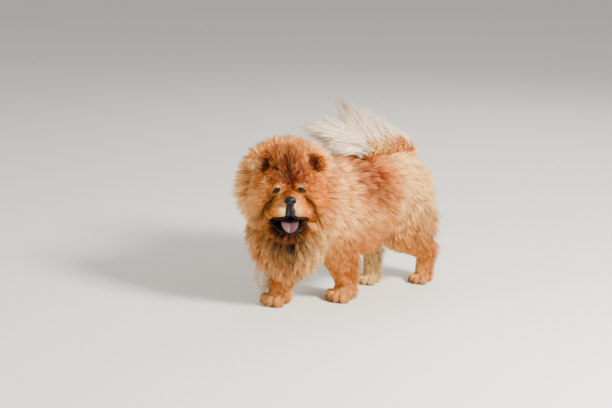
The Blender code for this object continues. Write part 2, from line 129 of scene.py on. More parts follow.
# The start of each run of random numbers.
ROOT_SEED = 7
PLUME_SEED = 5
FEATHER_SEED = 9

# The studio: each lamp's place, size and power, and where the camera stands.
LAMPS = (
    ((3.7, 0.3, 2.7), 0.9, 700), ((-1.6, -3.8, 2.2), 3.0, 80), ((-1.5, 3.0, 3.0), 2.5, 90),
)
LAMP_COLOUR = (1.0, 0.92, 0.8)
LAMP_AIM = Vector((0, -0.1, 0.35))
SKY_COLOUR = (0.95, 0.93, 0.9, 1)
SKY_STRENGTH = 0.55
FLOOR_COLOUR = (0.78, 0.78, 0.76, 1)
CAMERA_AZIMUTH = math.radians(48)
CAMERA_ELEVATION = math.radians(13.5)
CAMERA_AIM = Vector((0, -0.194, 0.386))
CAMERA_FAR = 6.2
CAMERA_LENS = 98.5
CAMERA_SENSOR = 36


def head_frame():
    """From the head's own directions to the dog's."""
    return Matrix.Translation(SKULL) @ Matrix.Rotation(math.pi + HEAD_YAW, 4, "Z")


def offset():
    """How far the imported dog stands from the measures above."""
    low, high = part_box("nose")
    step = (low + high) / 2 - head_frame() @ NOSE
    return Vector((step.x, step.y, 0))


SHIFT = offset()


# Shapes of the flesh. Each is an egg or a limb, and a region is a list of them.

def egg(centre, radii, turn=None):
    return {"centre": Vector(centre), "radii": Vector(radii), "turn": turn or Matrix.Identity(3)}


def head_egg(centre, radii, both=False, tilt=0.0):
    """An egg in the head's directions, as one, or as a pair left and right."""
    place = head_frame()
    turn = place.to_3x3() @ Matrix.Rotation(tilt, 3, "X")
    sides = (1, -1) if both else (1,)
    return [egg(place @ Vector((s * centre[0], centre[1], centre[2])), radii, turn) for s in sides]


def limb(start, end, start_radius, end_radius):
    return {"ends": (Vector(start), Vector(end)), "widths": (start_radius, end_radius)}


def head_shapes():
    made = head_egg((0, -0.02, 0.026), (0.1, 0.082, 0.09))
    made += head_egg((0.06, -0.005, -0.046), (0.05, 0.058, 0.066), both=True)
    made += head_egg((0, 0.065, -0.05), (0.056, 0.068, 0.045))
    made += head_egg((0.032, 0.1, -0.064), (0.031, 0.038, 0.031), both=True)
    made += head_egg((0.052, 0.068, -0.076), (0.027, 0.046, 0.027), both=True)
    made += head_egg((0, 0.092, -0.016), (0.023, 0.046, 0.018))
    made += head_egg((0.042, 0.052, 0.034), (0.034, 0.025, 0.026), both=True)
    made += head_egg((0.044, 0.05, 0.004), (0.03, 0.025, 0.026), both=True)
    made += head_egg((0.052, 0.024, 0.016), (0.054, 0.043, 0.054), both=True)
    made += head_egg((0, 0.03, 0.05), (0.05, 0.038, 0.045))
    made += head_egg((0, 0.03, -0.152), (0.052, 0.068, 0.019))
    made += head_egg((0, 0.074, -0.15), (0.037, 0.032, 0.02))
    place = head_frame()
    for side in (1, -1):
        lean = Matrix.Rotation(side * EAR_LEAN, 3, "Y")
        at = place @ Vector((side * EAR.x, EAR.y, EAR.z))
        made.append(egg(at, (0.037, 0.014, 0.044), place.to_3x3() @ lean))
    return made


def mane_shapes():
    made = head_egg((0, -0.085, -0.03), (0.135, 0.088, 0.143))
    made.append(egg((-0.015, -0.195, 0.385), (0.142, 0.106, 0.152)))
    made.append(egg((-0.018, -0.275, 0.285), (0.124, 0.082, 0.124)))
    return made


def torso_shapes():
    return [
        egg((0, -0.04, 0.355), (0.137, 0.18, 0.148)),
        egg((0, 0.13, 0.365), (0.127, 0.15, 0.13)),
        egg((0, 0.245, 0.36), (0.127, 0.12, 0.132)),
    ]


def foreleg_shapes(side, at):
    elbow = Vector((side * 0.085, -0.13, 0.27))
    wrist = at + Vector((0, 0.015, 0.07))
    return [limb(elbow, wrist, 0.052, 0.035), limb(wrist, at + Vector((0, 0.01, 0.035)), 0.035, 0.034)]


def hindleg_shapes(side, at):
    hip = Vector((side * 0.09, 0.235, 0.33))
    stifle = Vector((side * 0.097, at.y * 0.4 + 0.07, 0.22))
    hock = at + Vector((side * 0.005, 0.016, 0.125))
    return [
        limb(hip, stifle, 0.07, 0.055),
        egg((side * 0.085, 0.3, 0.25), (0.046, 0.05, 0.09)),
        limb(stifle, hock, 0.05, 0.029),
        limb(hock, at + Vector((0, 0.01, 0.03)), 0.029, 0.027),
    ]


def toe_places(at, size):
    """Middle and half sizes of each toe."""
    wide, long, high = size
    for k in range(TOES):
        across = (k - (TOES - 1) / 2) * wide * 0.56
        reach = long * (0.86 if k in (1, 2) else 0.62)
        spot = at + Vector((across, -reach + 0.006, high * 0.4))
        yield spot, Vector((wide * 0.34, long * 0.42, high * 0.46))


def paw_shapes(at, size):
    wide, long, high = size
    slim = Vector((FUR_ON_PAWS,) * 3)
    made = [egg(at + Vector((0, 0.012, high * 0.62)), Vector((wide, long, high * 0.7)) - slim)]
    made += [egg(spot, radii - slim * 0.6) for spot, radii in toe_places(at, size)]
    return made


def flesh():
    """Every region of the dog with its shapes."""
    regions = {"head": head_shapes(), "mane": mane_shapes(), "torso": torso_shapes()}
    for name, at in PAWS.items():
        side = 1 if name.endswith("left") else -1
        fore = name.startswith("fore")
        leg = name.replace("paw", "leg")
        regions[leg] = foreleg_shapes(side, at) if fore else hindleg_shapes(side, at)
        regions[name] = paw_shapes(at, FOREPAW if fore else HINDPAW)
    regions["tail"] = [
        limb(a, b, TAIL_RADIUS, TAIL_RADIUS) for a, b in zip(TAIL_LINE, TAIL_LINE[1:])
    ]
    return regions


# Making meshes.

def placed(name, mesh):
    obj = bpy.data.objects.new(name, mesh)
    bpy.context.scene.collection.objects.link(obj)
    return obj


def object_of(name, shape):
    """A new object from a bmesh, which it frees."""
    mesh = bpy.data.meshes.new(name)
    shape.to_mesh(mesh)
    shape.free()
    return placed(name, mesh)


def solid_of(shapes, segments=28):
    """The shapes as loose closed shells in one object."""
    whole = bmesh.new()
    for form in shapes:
        if "ends" in form:
            start, end = form["ends"]
            axis = end - start
            turn = axis.to_track_quat("Z", "X").to_matrix().to_4x4()
            bmesh.ops.create_cone(
                whole, cap_ends=True, segments=segments, radius1=form["widths"][0],
                radius2=form["widths"][1], depth=axis.length,
                matrix=Matrix.Translation((start + end) / 2) @ turn,
            )
            for spot, radius in zip(form["ends"], form["widths"]):
                bmesh.ops.create_uvsphere(
                    whole, u_segments=segments, v_segments=segments // 2, radius=radius,
                    matrix=Matrix.Translation(spot),
                )
        else:
            place = Matrix.Translation(form["centre"]) @ form["turn"].to_4x4()
            bmesh.ops.create_uvsphere(
                whole, u_segments=segments, v_segments=segments // 2, radius=1,
                matrix=place @ Matrix.Diagonal((*form["radii"], 1)),
            )
    return object_of("shapes", whole)


def baked(obj):
    """The object with its modifiers applied."""
    graph = bpy.context.evaluated_depsgraph_get()
    mesh = bpy.data.meshes.new_from_object(obj.evaluated_get(graph))
    obj.modifiers.clear()
    obj.data = mesh
    return obj


def grown(obj, voxel, rounds):
    """Grows loose shells into one smooth surface."""
    remesh = obj.modifiers.new("skin", "REMESH")
    remesh.mode = "VOXEL"
    remesh.voxel_size = voxel
    smooth = obj.modifiers.new("smooth", "SMOOTH")
    smooth.factor = 0.5
    smooth.iterations = rounds
    return baked(obj)


def carved(obj, other, operation):
    """Joins the other solid to obj, or cuts it away, and removes it."""
    step = obj.modifiers.new(operation, "BOOLEAN")
    step.operation = operation
    step.solver = "MANIFOLD"
    step.object = other
    baked(obj)
    bpy.data.objects.remove(other)
    return obj


def dressed(obj, name, material, slot, *nodes):
    """Names a piece, gives it its finish and ties it to the dog."""
    obj.name = name
    obj.data.name = name
    obj.data.transform(Matrix.Translation(SHIFT))
    obj.data.materials.clear()
    obj.data.materials.append(material)
    obj.data.shade_smooth()
    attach(obj, "root")
    if nodes:
        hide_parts(*nodes)
    return obj


# Fields over the skin. Each takes an array of spots in the dog's measures.

def distance(form, spots):
    """How far each spot stands out of a shape, about."""
    if "ends" in form:
        start, end = (np.array(e) for e in form["ends"])
        axis = end - start
        share = np.clip((spots - start) @ axis / (axis @ axis), 0, 1)
        width = form["widths"][0] + (form["widths"][1] - form["widths"][0]) * share
        return np.linalg.norm(spots - start - share[:, None] * axis, axis=1) - width
    turn = np.array(form["turn"])
    local = (spots - np.array(form["centre"])) @ turn
    scaled = np.linalg.norm(local / np.array(form["radii"]), axis=1) + 1e-9
    return np.linalg.norm(local, axis=1) * (1 - 1 / scaled)


def belonging(regions, spots, softness):
    """The share of each region at each spot."""
    reach = {}
    for name, shapes in regions.items():
        nearest = np.min([distance(form, spots) for form in shapes], axis=0)
        reach[name] = np.exp(-np.clip(nearest, 0, None) / softness)
    whole = sum(reach.values())
    return {name: share / whole for name, share in reach.items()}


def ease(value, low, high):
    """0 below low, 1 above high, smooth between."""
    t = np.clip((value - low) / (high - low), 0, 1)
    return t * t * (3 - 2 * t)


def near(spots, centre, reach):
    """A soft spot: 1 in its middle, fading over its reach in each direction."""
    return np.exp(-(((spots - np.array(centre)) / np.array(reach)) ** 2).sum(1))


def egg_reach(spots, middle, reach):
    """How far out of an egg each spot is: 0 in its middle, 1 on its surface."""
    return np.linalg.norm((spots - np.array(middle)) / np.array(reach), axis=1)


def unit(vectors):
    return vectors / (np.linalg.norm(vectors, axis=1, keepdims=True) + 1e-12)


def directions(*parts):
    """Directions from their three parts, each a number or an array."""
    return np.stack(np.broadcast_arrays(*parts), 1).astype(float)


def in_head(spots):
    """The spots in the head's own directions."""
    back = np.array(head_frame().inverted())
    return spots @ back[:3, :3].T + back[:3, 3]


def from_head(vectors):
    return vectors @ np.array(head_frame())[:3, :3].T


def mirrored(face):
    """Spots of the head, folded onto its right side."""
    return np.abs(face * (1, 0, 0)) + face * (0, 1, 1)


def ripple(spots, size, seed):
    """Smooth noise from -1 to 1 with bumps of about that size."""
    draw = np.random.default_rng(seed)
    total = np.zeros(len(spots))
    for _ in range(7):
        wave = draw.normal(size=3)
        wave *= 2 * math.pi / (size * draw.uniform(0.7, 1.6) * np.linalg.norm(wave))
        total += np.sin(spots @ wave + draw.uniform(0, 7))
    return total / 3.2


def mouth_edge(face):
    """1 inside the mouth and on its lips, in the head's directions."""
    middle = np.array(MOUTH) + (0, 0, -0.004)
    return 1 - ease(egg_reach(face, middle, (0.076, 0.094, 0.041)), 0.98, 1.1)


def ear_cup(face):
    """1 in the hollow of each ear."""
    middle = np.array(EAR) + EAR_HOLLOW
    return sum(near(face, middle * (side, 1, 1), (0.03, 0.022, 0.036)) for side in (1, -1))


def ear_near(face):
    """1 on the ears and their rims."""
    middle = np.array(EAR) + (0, 0, 0.006)
    return np.clip(sum(
        1 - ease(egg_reach(face, middle * (side, 1, 1), (0.04, 0.034, 0.05)), 0.75, 1.1)
        for side in (1, -1)
    ), 0, 1)


def along_tail(spots):
    """The way the tail runs at each spot, from its root to its tip."""
    ends = [(np.array(a), np.array(b)) for a, b in zip(TAIL_LINE, TAIL_LINE[1:])]
    far = np.stack([np.linalg.norm(spots - (a + b) / 2, axis=1) for a, b in ends], 1)
    ways = unit(np.stack([b - a for a, b in ends]))
    return ways[far.argmin(1)]


def bare(spots):
    """1 where no hair grows: mouth, lips, nose, eyes and the hollow of the ears."""
    face = in_head(spots)
    total = mouth_edge(face)
    for side in (1, -1):
        eye = (side * EYE.x, EYE.y + 0.006, EYE.z)
        total += 1 - ease(egg_reach(face, eye, (0.014, 0.02, 0.008)), 0.9, 1.05)
    total += 1 - ease(egg_reach(face, NOSE, (0.023, 0.03, 0.018)), 0.95, 1.05)
    channel = (0, 0.132, -0.06)
    total += 1 - ease(egg_reach(face, channel, (0.02, 0.03, 0.028)), 0.95, 1.1)
    total += ease(ear_cup(face), 0.3, 0.5)
    return np.clip(total, 0, 1)


# Markings. Each soft patch has its region, or None, its middle, its reach, and the rust, cream
# and dark that it adds.

BODY_PATCHES = {
    "shoulder": ("torso", (0.11, -0.06, 0.42), (0.08, 0.03, 0.12), (0.3, 0, 0)),
    "back": ("torso", (0.02, 0.05, 0.55), (0.08, 0.08, 0.05), (0.5, 0, 0)),
    "belly": (None, (0.02, 0.12, 0.22), (0.1, 0.06, 0.05), (0, 0.5, 0)),
    "hip": (None, (0.13, 0.23, 0.36), (0.08, 0.12, 0.09), (0, 0.4, 0)),
    "chest side": ("mane", (0.12, -0.25, 0.25), (0.05, 0.05, 0.09), (0, 0.3, 0)),
}

# These are in the head's directions.
HEAD_PATCHES = {
    "throat": (None, (0, 0.06, -0.19), (0.06, 0.06, 0.045), (0.4, 0, 0.45)),
    "jaw": (None, (0, 0.06, -0.17), (0.062, 0.09, 0.034), (0.3, 0, 0.72)),
    "low ruff": ("mane", (0.13, 0.02, -0.14), (0.06, 0.1, 0.08), (0, 0.3, 0)),
    "right cheek": ("head", (0.078, 0.05, -0.035), (0.04, 0.08, 0.05), (0, 0.22, 0)),
    "left cheek": ("head", (-0.078, 0.05, -0.035), (0.04, 0.08, 0.05), (0, -0.22, 0)),
}

# These are on both sides of the head.
PAIRED_PATCHES = {
    "brow": ("head", (0, 0.075, 0.08), (0.074, 0.1, 0.074), (1.2, 0, 0.26)),
    # The furrow: rust hair darkened by painted shade down the crease between the brows.
    "furrow": ("head", (0, 0.09, 0.05), (0.0095, 0.08, 0.055), (0.5, 0, 0.7)),
    "temple": ("head", (0.06, 0.05, 0.03), (0.05, 0.1, 0.04), (0.4, 0, 0)),
    "pad": ("head", (0.022, 0.13, -0.06), (0.016, 0.06, 0.028), (0, 1.0, 0.06)),
    "bridge": ("head", (0, 0.13, -0.012), (0.034, 0.06, 0.022), (0.4, 0, 0.12)),
    "over the eye": ("head", (0.037, 0.08, 0.0125), (0.011, 0.03, 0.0055), (0, 0.9, 0)),
    "under the eye": ("head", (0.046, 0.08, -0.0165), (0.012, 0.03, 0.0055), (0, 0.7, 0)),
    "cheek": ("head", (0.11, 0.02, -0.07), (0.045, 0.08, 0.08), (0, 0.12, 0)),
    "mouth corner": (None, (0.076, 0.055, -0.112), (0.028, 0.06, 0.026), (0, 0, 0.8)),
}


def add_patches(tones, patches, spots, share):
    """Adds soft patches of colour, each within its region."""
    for region, middle, reach, tone in patches.values():
        part = near(spots, middle, reach)
        if region:
            part = part * share[region]
        tones += part[:, None] * np.array(tone)


def mark_body(tones, spots, share):
    """A deep saddle behind the mane that pales over flank and rump."""
    rust, cream, _ = tones.T
    _, y, z = spots.T
    torso = share["torso"]
    saddle = ease(y, -0.1, -0.03) * (1 - ease(y, 0.06, 0.17)) * ease(z, 0.34, 0.43)
    rump = ease(y, 0.08, 0.2)
    low_flank = (1 - ease(z, 0.36, 0.42)) * ease(z, 0.24, 0.3)
    stifle = near(spots, (0.12, 0.2, 0.26), (0.1, 0.08, 0.04))
    cloud = ripple(spots * (1, 0.5, 1), 0.07, 8)
    pale = 0.95 * rump + 0.3 * low_flank - 0.5 * stifle + 0.1 * cloud
    rust += torso * 0.9 * saddle
    cream += torso * np.clip(pale * (1 - saddle * 0.8), 0, 0.8)
    add_patches(tones, BODY_PATCHES, spots, share)


def mark_mane(tones, spots, face, share):
    """Beige with pale and golden bands, and tan wavy locks down the chest."""
    rust, cream, dark = tones.T
    x, y, z = spots.T
    mane = share["mane"]
    band = y - 0.15 * (z - 0.42)
    gold = np.exp(-((band + 0.16) / 0.017) ** 2) * ease(z, 0.25, 0.34)
    fringe = ease(band, -0.14, -0.12)
    streak = ripple(spots * (1.6, 1.6, 0.3), 0.03, 3)
    strand = ripple(spots * (1.6, 1.6, 0.2), 0.013, 5)
    round_face = near(face, (-0.05, 0.03, -0.03), (0.17, 0.09, 0.14))
    flank = ease(y, -0.28, -0.2) + ease(x, 0.02, 0.1) * ease(z, 0.2, 0.3)
    cream += mane * (0.46 + 0.36 * flank.clip(0, 1) + 0.2 * streak - 1.2 * gold - 0.6 * round_face)
    cream += 0.45 * ease(face[:, 0], 0.08, 0.13) * (1 - ease(face[:, 1], 0.04, 0.09))

    # Down the chest: dark streaks of brown hair, deepened by painted shade between the locks.
    chest = mane * ease(-y, 0.2, 0.3) * (1 - ease(z, 0.3, 0.44))
    cream += chest * (0.3 * (-strand).clip(0, 1) - 0.12)
    rust += chest * (0.3 * strand.clip(0, 1) + 0.2 - 0.2 * streak)
    dark += chest * (0.26 * strand.clip(0, 1) + (0.06 + 0.28 * streak).clip(0, 1))

    nape = near(spots, (0.05, -0.07, 0.5), (0.09, 0.06, 0.08))
    cream *= 1 - 0.9 * nape
    rim = ease(np.abs(face[:, 0]), 0.115, 0.17) * ease(face[:, 2], -0.16, -0.1)
    cream += mane * (0.65 * fringe + 0.3 * rim)
    breast = mane * near(spots, (0.045, -0.34, 0.27), (0.035, 0.07, 0.07))
    breast *= (0.55 + 0.45 * streak).clip(0, 1)
    rust += 0.75 * nape + 0.42 * mane * gold + 0.45 * breast
    dark += 0.4 * breast


def mark_head(tones, spots, face, share):
    """Rust brow and crown, golden cheeks, pale muzzle, dark round the mouth and in the ears."""
    rust, cream, dark = tones.T
    head = share["head"]
    half = mirrored(face)
    across, _, up = half.T
    add_patches(tones, HEAD_PATCHES, face, share)
    add_patches(tones, PAIRED_PATCHES, half, share)
    cream += head * (0.1 * ripple(spots, 0.03, 11) + 0.22 * ease(up, 0.125, 0.16))
    # The fold over each eye and the crease beside the muzzle get darker, rustier hair: painted shade
    # in these folds.
    fold = head * np.exp(-((up - 0.012 - across * 1.15) / 0.009) ** 2)
    fold *= near(half, (0.03, 0.08, 0.045), (0.028, 0.08, 0.035))
    crease_shade = np.exp(-((across - 0.042 + np.clip(up, -1, 0) * 0.5) / 0.008) ** 2)
    crease_shade *= near(face, (0, 0.05, -0.055), (0.2, 0.09, 0.05))
    cup = head * ease(ear_cup(face), 0.15, 0.6)
    rust += 0.6 * (fold + crease_shade + cup) + 0.3 * head * ear_near(face)
    dark += 0.4 * fold + 0.85 * crease_shade + 0.75 * cup + 1.2 * mouth_edge(face)


def mark_legs(tones, spots, share):
    """Rust behind the knees, pale toes, and one paler hind leg: its pale hair and painted sunlight."""
    rust, cream, _ = tones.T
    x, y, z = spots.T
    for name, part in share.items():
        if "paw" in name:
            # The right hind paw is paler: pale hair with painted sunlight on it.
            cream += part * (1.0 if name == "hindpaw_right" else 0.5)
        if "leg" not in name:
            continue
        paw = PAWS[name.replace("leg", "paw")]
        outward = (x - paw.x) * (1 if name.endswith("left") else -1)
        inner = ease(-outward, -0.012, 0.02) * ("hind" in name)
        # The right hind leg is paler all over: pale hair with painted sunlight on it.
        paler_and_lit_leg = float(name == "hindleg_right")
        rust += part * 0.35 * ease(z, 0.05, 0.2) * (1 - inner) * (1 - paler_and_lit_leg)
        cream += part * (0.1 + 0.8 * inner + 0.35 * ease(y - paw.y, 0.03, 0.09) + 0.9 * paler_and_lit_leg)
        if name == "foreleg_right":
            cream += part * 0.8 * ease(outward - 0.6 * (y - paw.y), 0.02, 0.06)


def mark_tail(tones, spots, share):
    """An orange lobe at the tail's root under a near white plume."""
    rust, cream, _ = tones.T
    _, y, z = spots.T
    plume = (1 - ease(y, 0.17, 0.25)) * ease(z, 0.545, 0.575)
    cream += share["tail"] * (0.12 + 0.8 * plume)
    rust += share["tail"] * 0.15 * (1 - ease(z, 0.53, 0.57))


def markings(spots, share):
    """Shares of rust, cream and dark hair at each spot, over the orange ground."""
    face = in_head(spots)
    tones = np.zeros((len(spots), 3))
    mark_body(tones, spots, share)
    mark_mane(tones, spots, face, share)
    mark_head(tones, spots, face, share)
    mark_legs(tones, spots, share)
    mark_tail(tones, spots, share)
    return np.clip(tones, 0, 1)


# The lie of the hair.

def hair_style(spots, normals, share):
    """Length, lift at root and tip, width, clumping, wave and lie of the hair at each spot."""
    face = in_head(spots)
    x, y, z = spots.T
    values = ("length", "root_lift", "tip_lift", "width", "clump", "wave")
    style = {value: np.zeros(len(spots)) for value in values}
    style["lie"] = np.zeros((len(spots), 3))

    def add(part, way, **shares):
        for key, value in shares.items():
            style[key] += part * value
        style["lie"] += part[:, None] * unit(way)

    # The head: shortest on the muzzle and before the ears, combed back from the nose.
    far = ease(np.linalg.norm(face - np.array((0, 0.12, -0.03)), axis=1), 0.05, 0.17)
    away = face - np.array((0, 0.22, -0.025))
    away[:, 2] -= 0.03 * ease(-face[:, 2], 0.02, 0.1) * (face[:, 1] < 0.1)
    before_ear = near(mirrored(face), (0.078, 0.048, 0.066), (0.034, 0.045, 0.04))
    short = 1 - 0.74 * np.maximum(ear_near(face), before_ear)
    short *= 1 - 0.28 * ease(face[:, 2], 0.06, 0.12)
    add(share["head"], from_head(away), length=(0.008 + 0.046 * far) * short,
        root_lift=26 + 34 * far, tip_lift=10 + 30 * far, width=0.0014 + 0.001 * far,
        clump=0.25 + 0.25 * far, wave=0.1 * far)

    # The mane: standing round the face, hanging and wavy down the chest.
    middle = np.array(head_frame() @ Vector((0, 0.1, 0.02)))
    chest = ease(-y, 0.16, 0.27) * (1 - ease(z, 0.3, 0.46))
    rear = ease(y, -0.16, -0.1) * ease(z, 0.3, 0.36)
    droop = directions(0, 0.25, -0.45 - 0.8 * chest)
    add(share["mane"], unit(spots - middle) + droop, length=0.098 + 0.014 * rear - 0.002 * chest,
        root_lift=64 - 16 * chest, tip_lift=36 - 20 * chest + 4 * rear,
        width=0.0026 - 0.0004 * chest, clump=0.5 + 0.3 * chest, wave=0.3 + 1.2 * chest)

    # The trunk: combed back and down, hanging under the belly and the rump.
    breech = ease(y, 0.26, 0.34) * (1 - ease(z, 0.36, 0.46))
    belly = ease(0.3 - z, 0.0, 0.08)
    under = belly * ease(-normals[:, 2], 0.1, 0.6)
    rear = ease(y, 0.22, 0.32) * ease(z, 0.3, 0.4)
    back = directions(x * 0.2, 1, -0.25 - np.abs(x) * 3 - breech)
    add(share["torso"], back, length=0.084 - 0.018 * belly + 0.03 * under, root_lift=60,
        tip_lift=24 + 36 * under + 12 * rear, width=0.0028, clump=0.42, wave=0.15)

    # Legs and paws: longer behind and higher up, short on the toes.
    behind = ease(normals[:, 1], -0.1, 0.7)
    high = ease(z, 0.08, 0.24)
    outer_side = ease(normals @ np.array((-0.67, -0.4, 0)), 0.3, 0.9) * ease(z, 0.09, 0.15)
    for name, part in share.items():
        if "leg" in name:
            feather = outer_side * (name == "foreleg_right")
            long = 0.022 + 0.022 * high + 0.075 * feather
            long = long + (0.03 + 0.02 * high * ("hind" in name)) * behind
            down = directions(x * 0.3 - 0.5 * feather, 0.25 + 0.2 * behind - 0.3 * feather, -1)
            add(part, down, length=long, root_lift=44 + 8 * behind, tip_lift=14 + 10 * behind,
                width=0.002 + 0.0008 * high, clump=0.4, wave=0.2)
        elif "paw" in name:
            instep = np.array(PAWS[name]) + (0, 0.04, 0.05)
            add(part, spots - instep, length=0.013, root_lift=30, tip_lift=6, width=0.0017,
                clump=0.3, wave=0)
    add(share["tail"], along_tail(spots), length=0.036, root_lift=40, tip_lift=14, width=0.0024,
        clump=0.5, wave=0.1)

    style["lie"] -= normals * (style["lie"] * normals).sum(1, keepdims=True)
    style["lie"] = unit(style["lie"])
    for key in ("root_lift", "tip_lift"):
        style[key] = np.radians(style[key])
    return style


# Meshes from arrays, and the unwrap that the skin and the tufts share.

def unwrap(spots, normals, cells=None, total=1):
    """Places spots on a six-sided unwrap, in one block of it for each cell number."""
    axis = np.abs(normals).argmax(1)
    side = (normals[np.arange(len(normals)), axis] > 0).astype(int)
    low, high = spots.min(0), spots.max(0)
    flat = (spots - low) / (high - low + 1e-9)
    across = np.where(axis == 0, flat[:, 1], flat[:, 0])
    up = np.where(axis == 2, flat[:, 1], flat[:, 2])
    cell = axis + 3 * side
    u = (cell % 3 + 0.02 + 0.96 * across) / 3
    v = (cell // 3 + 0.02 + 0.96 * up) / 2
    if cells is not None:
        columns = math.ceil(math.sqrt(total))
        u = (cells % columns + u) / columns
        v = (cells // columns + v) / columns
    return np.stack([u, v], 1)


ORDER_CELL = 0.02


def in_order(places):
    """An order of places that is the same on every run: by cell, then by coordinate."""
    cells = np.floor(places / ORDER_CELL)
    return np.lexsort((*np.round(places, 5).T, *cells.T))


def mesh_arrays(mesh):
    """Corner places, normals and triangle corners of a mesh, in an order of their own."""
    spots = np.empty(len(mesh.vertices) * 3, np.float32)
    mesh.vertices.foreach_get("co", spots)
    normals = np.empty(len(mesh.vertices) * 3, np.float32)
    mesh.vertex_normals.foreach_get("vector", normals)
    mesh.calc_loop_triangles()
    corners = np.empty(len(mesh.loop_triangles) * 3, np.int32)
    mesh.loop_triangles.foreach_get("vertices", corners)
    spots = spots.reshape(-1, 3).astype(float)
    normals = normals.reshape(-1, 3).astype(float)
    order = in_order(spots)
    rank = np.empty(len(order), int)
    rank[order] = np.arange(len(order))
    corners = rank[corners.reshape(-1, 3)]
    first = corners.argmin(1)[:, None]
    corners = np.take_along_axis(corners, (first + np.arange(3)) % 3, 1)
    spots, normals = spots[order], normals[order]
    return spots, normals, corners[in_order(spots[corners].mean(1))]


def set_field(mesh, name, values):
    """Stores three numbers for each corner of the mesh."""
    field = mesh.attributes.new(name, "FLOAT_VECTOR", "POINT")
    field.data.foreach_set("vector", np.ascontiguousarray(values, dtype=np.float32).ravel())


def mesh_of(name, spots, faces, corner_uv, fields):
    """A mesh of triangles from arrays, with a UV place for each face corner, and its fields."""
    mesh = bpy.data.meshes.new(name)
    mesh.vertices.add(len(spots))
    mesh.vertices.foreach_set("co", np.ascontiguousarray(spots, dtype=np.float32).ravel())
    mesh.loops.add(faces.size)
    mesh.loops.foreach_set("vertex_index", faces.ravel().astype(np.int32))
    mesh.polygons.add(len(faces))
    mesh.polygons.foreach_set("loop_start", np.arange(0, faces.size, 3, dtype=np.int32))
    mesh.update(calc_edges=True)
    layer = mesh.uv_layers.new(name="OFBake")
    layer.uv.foreach_set("vector", corner_uv.astype(np.float32).ravel())
    for field, values in fields.items():
        set_field(mesh, field, values)
    return mesh


# Hair.

ROOT_DEPTH = 0.002
LIE_SPREAD = 0.16
HAIR_SAG = 0.1
GATHER_CURVE = 1.2
WAVE_BENDS = 5.5
WAVE_WIDTH = 0.006
FLOOR_GAP = 0.0008

# The width of a tuft at each ring, by its number of rings, and its depth under and over.
PROFILES = {2: (1.0, 0.8), 3: (0.85, 1.0, 0.62)}
TUFT_UNDER = 0.12
TUFT_OVER = 0.22
TUFT_PATCH = 0.003


def strand_paths(roots, normals, style, steps, draw):
    """The path of each tuft: it rises from the skin and leans over along the lie."""
    count = len(roots)
    lie = style["lie"]
    side = np.cross(normals, lie)
    lie = unit(lie + side * draw.normal(0, LIE_SPREAD, count)[:, None])
    length = style["length"] * draw.uniform(0.72, 1.12, count)
    paths = [roots - normals * ROOT_DEPTH]
    for k in range(steps):
        share = k / max(steps - 1, 1)
        lift = style["root_lift"] + (style["tip_lift"] - style["root_lift"]) * share
        way = lie * np.cos(lift)[:, None] + normals * np.sin(lift)[:, None]
        way[:, 2] -= HAIR_SAG * share
        paths.append(paths[-1] + unit(way) * (length / steps)[:, None])
    return np.stack(paths, 1)


def gathered(paths, guides, owner, clump, wave, draw):
    """Draws tufts together towards the tips of their guides, and waves them."""
    share = np.linspace(0, 1, paths.shape[1])[None, :, None]
    start = paths[:, :1] - guides[owner][:, :1]
    keep = 1 - clump[:, None, None] * share ** GATHER_CURVE
    met = guides[owner] + start * keep
    paths = paths + (met - paths) * (clump[:, None, None] * share)
    phase = draw.uniform(0, 2 * math.pi, len(guides))[owner]
    swing = unit(np.cross(paths[:, -1] - paths[:, 0], start[:, 0] + 1e-6))
    bend = np.sin(share * WAVE_BENDS + phase[:, None, None]) * share
    bend *= wave[:, None, None] * WAVE_WIDTH
    return paths + swing[:, None, :] * bend


def nearest_guide(roots, guides):
    """The number of the guide closest to each root."""
    owner = np.empty(len(roots), int)
    for start in range(0, len(roots), 2000):
        part = roots[start:start + 2000]
        owner[start:start + 2000] = ((part[:, None] - guides[None]) ** 2).sum(2).argmin(1)
    return owner


def tuft_plan(rings):
    """The triangles of one tuft: a closed root, its sides and its tip."""
    plan = [(0, 2, 1)]
    for k in range(rings - 1):
        for c in range(3):
            a, b = k * 3 + c, k * 3 + (c + 1) % 3
            plan += [(a, b, b + 3), (a, b + 3, a + 3)]
    last = (rings - 1) * 3
    plan += [(last + c, last + (c + 1) % 3, rings * 3) for c in range(3)]
    return np.array(plan)


def tufts(name, paths, normals, widths, marking, strand, uv):
    """Closed three-sided tapered tufts along the paths, the last point being the tip."""
    count, points = paths.shape[:2]
    rings = points - 1
    each = rings * 3 + 1
    spots = np.empty((count, each, 3))
    for k in range(rings):
        along = unit(paths[:, k + 1] - paths[:, max(k - 1, 0)])
        side = unit(np.cross(along, normals))
        up = np.cross(side, along)
        wide = (widths * PROFILES[rings][k])[:, None]
        spots[:, k * 3] = paths[:, k] - side * wide * 0.5 - up * wide * TUFT_UNDER
        spots[:, k * 3 + 1] = paths[:, k] + side * wide * 0.5 - up * wide * TUFT_UNDER
        spots[:, k * 3 + 2] = paths[:, k] + up * wide * TUFT_OVER
    spots[:, -1] = paths[:, -1]
    spots[:, :, 2] = np.maximum(spots[:, :, 2], FLOOR_GAP)
    faces = (tuft_plan(rings)[None] + (np.arange(count) * each)[:, None, None]).reshape(-1, 3)
    height = np.append(np.repeat(np.arange(rings) / rings, 3), 1.0)
    patch = np.stack([np.append(np.tile((-0.5, 0.5, 0.0), rings), 0.0), height], 1) * TUFT_PATCH
    uv = np.clip(uv[:, None] + patch[None], 0, 1).reshape(-1, 2)
    strands = np.stack([
        np.tile(height, count), np.repeat(strand, each), np.zeros(count * each),
    ], 1)
    if marking.ndim == 2:
        marking = np.repeat(marking[:, None], each, 1)
    fields = {"marking": marking.reshape(-1, 3), "strand": strands}
    return placed(name, mesh_of(name, spots.reshape(-1, 3), faces, uv[faces.ravel()], fields))


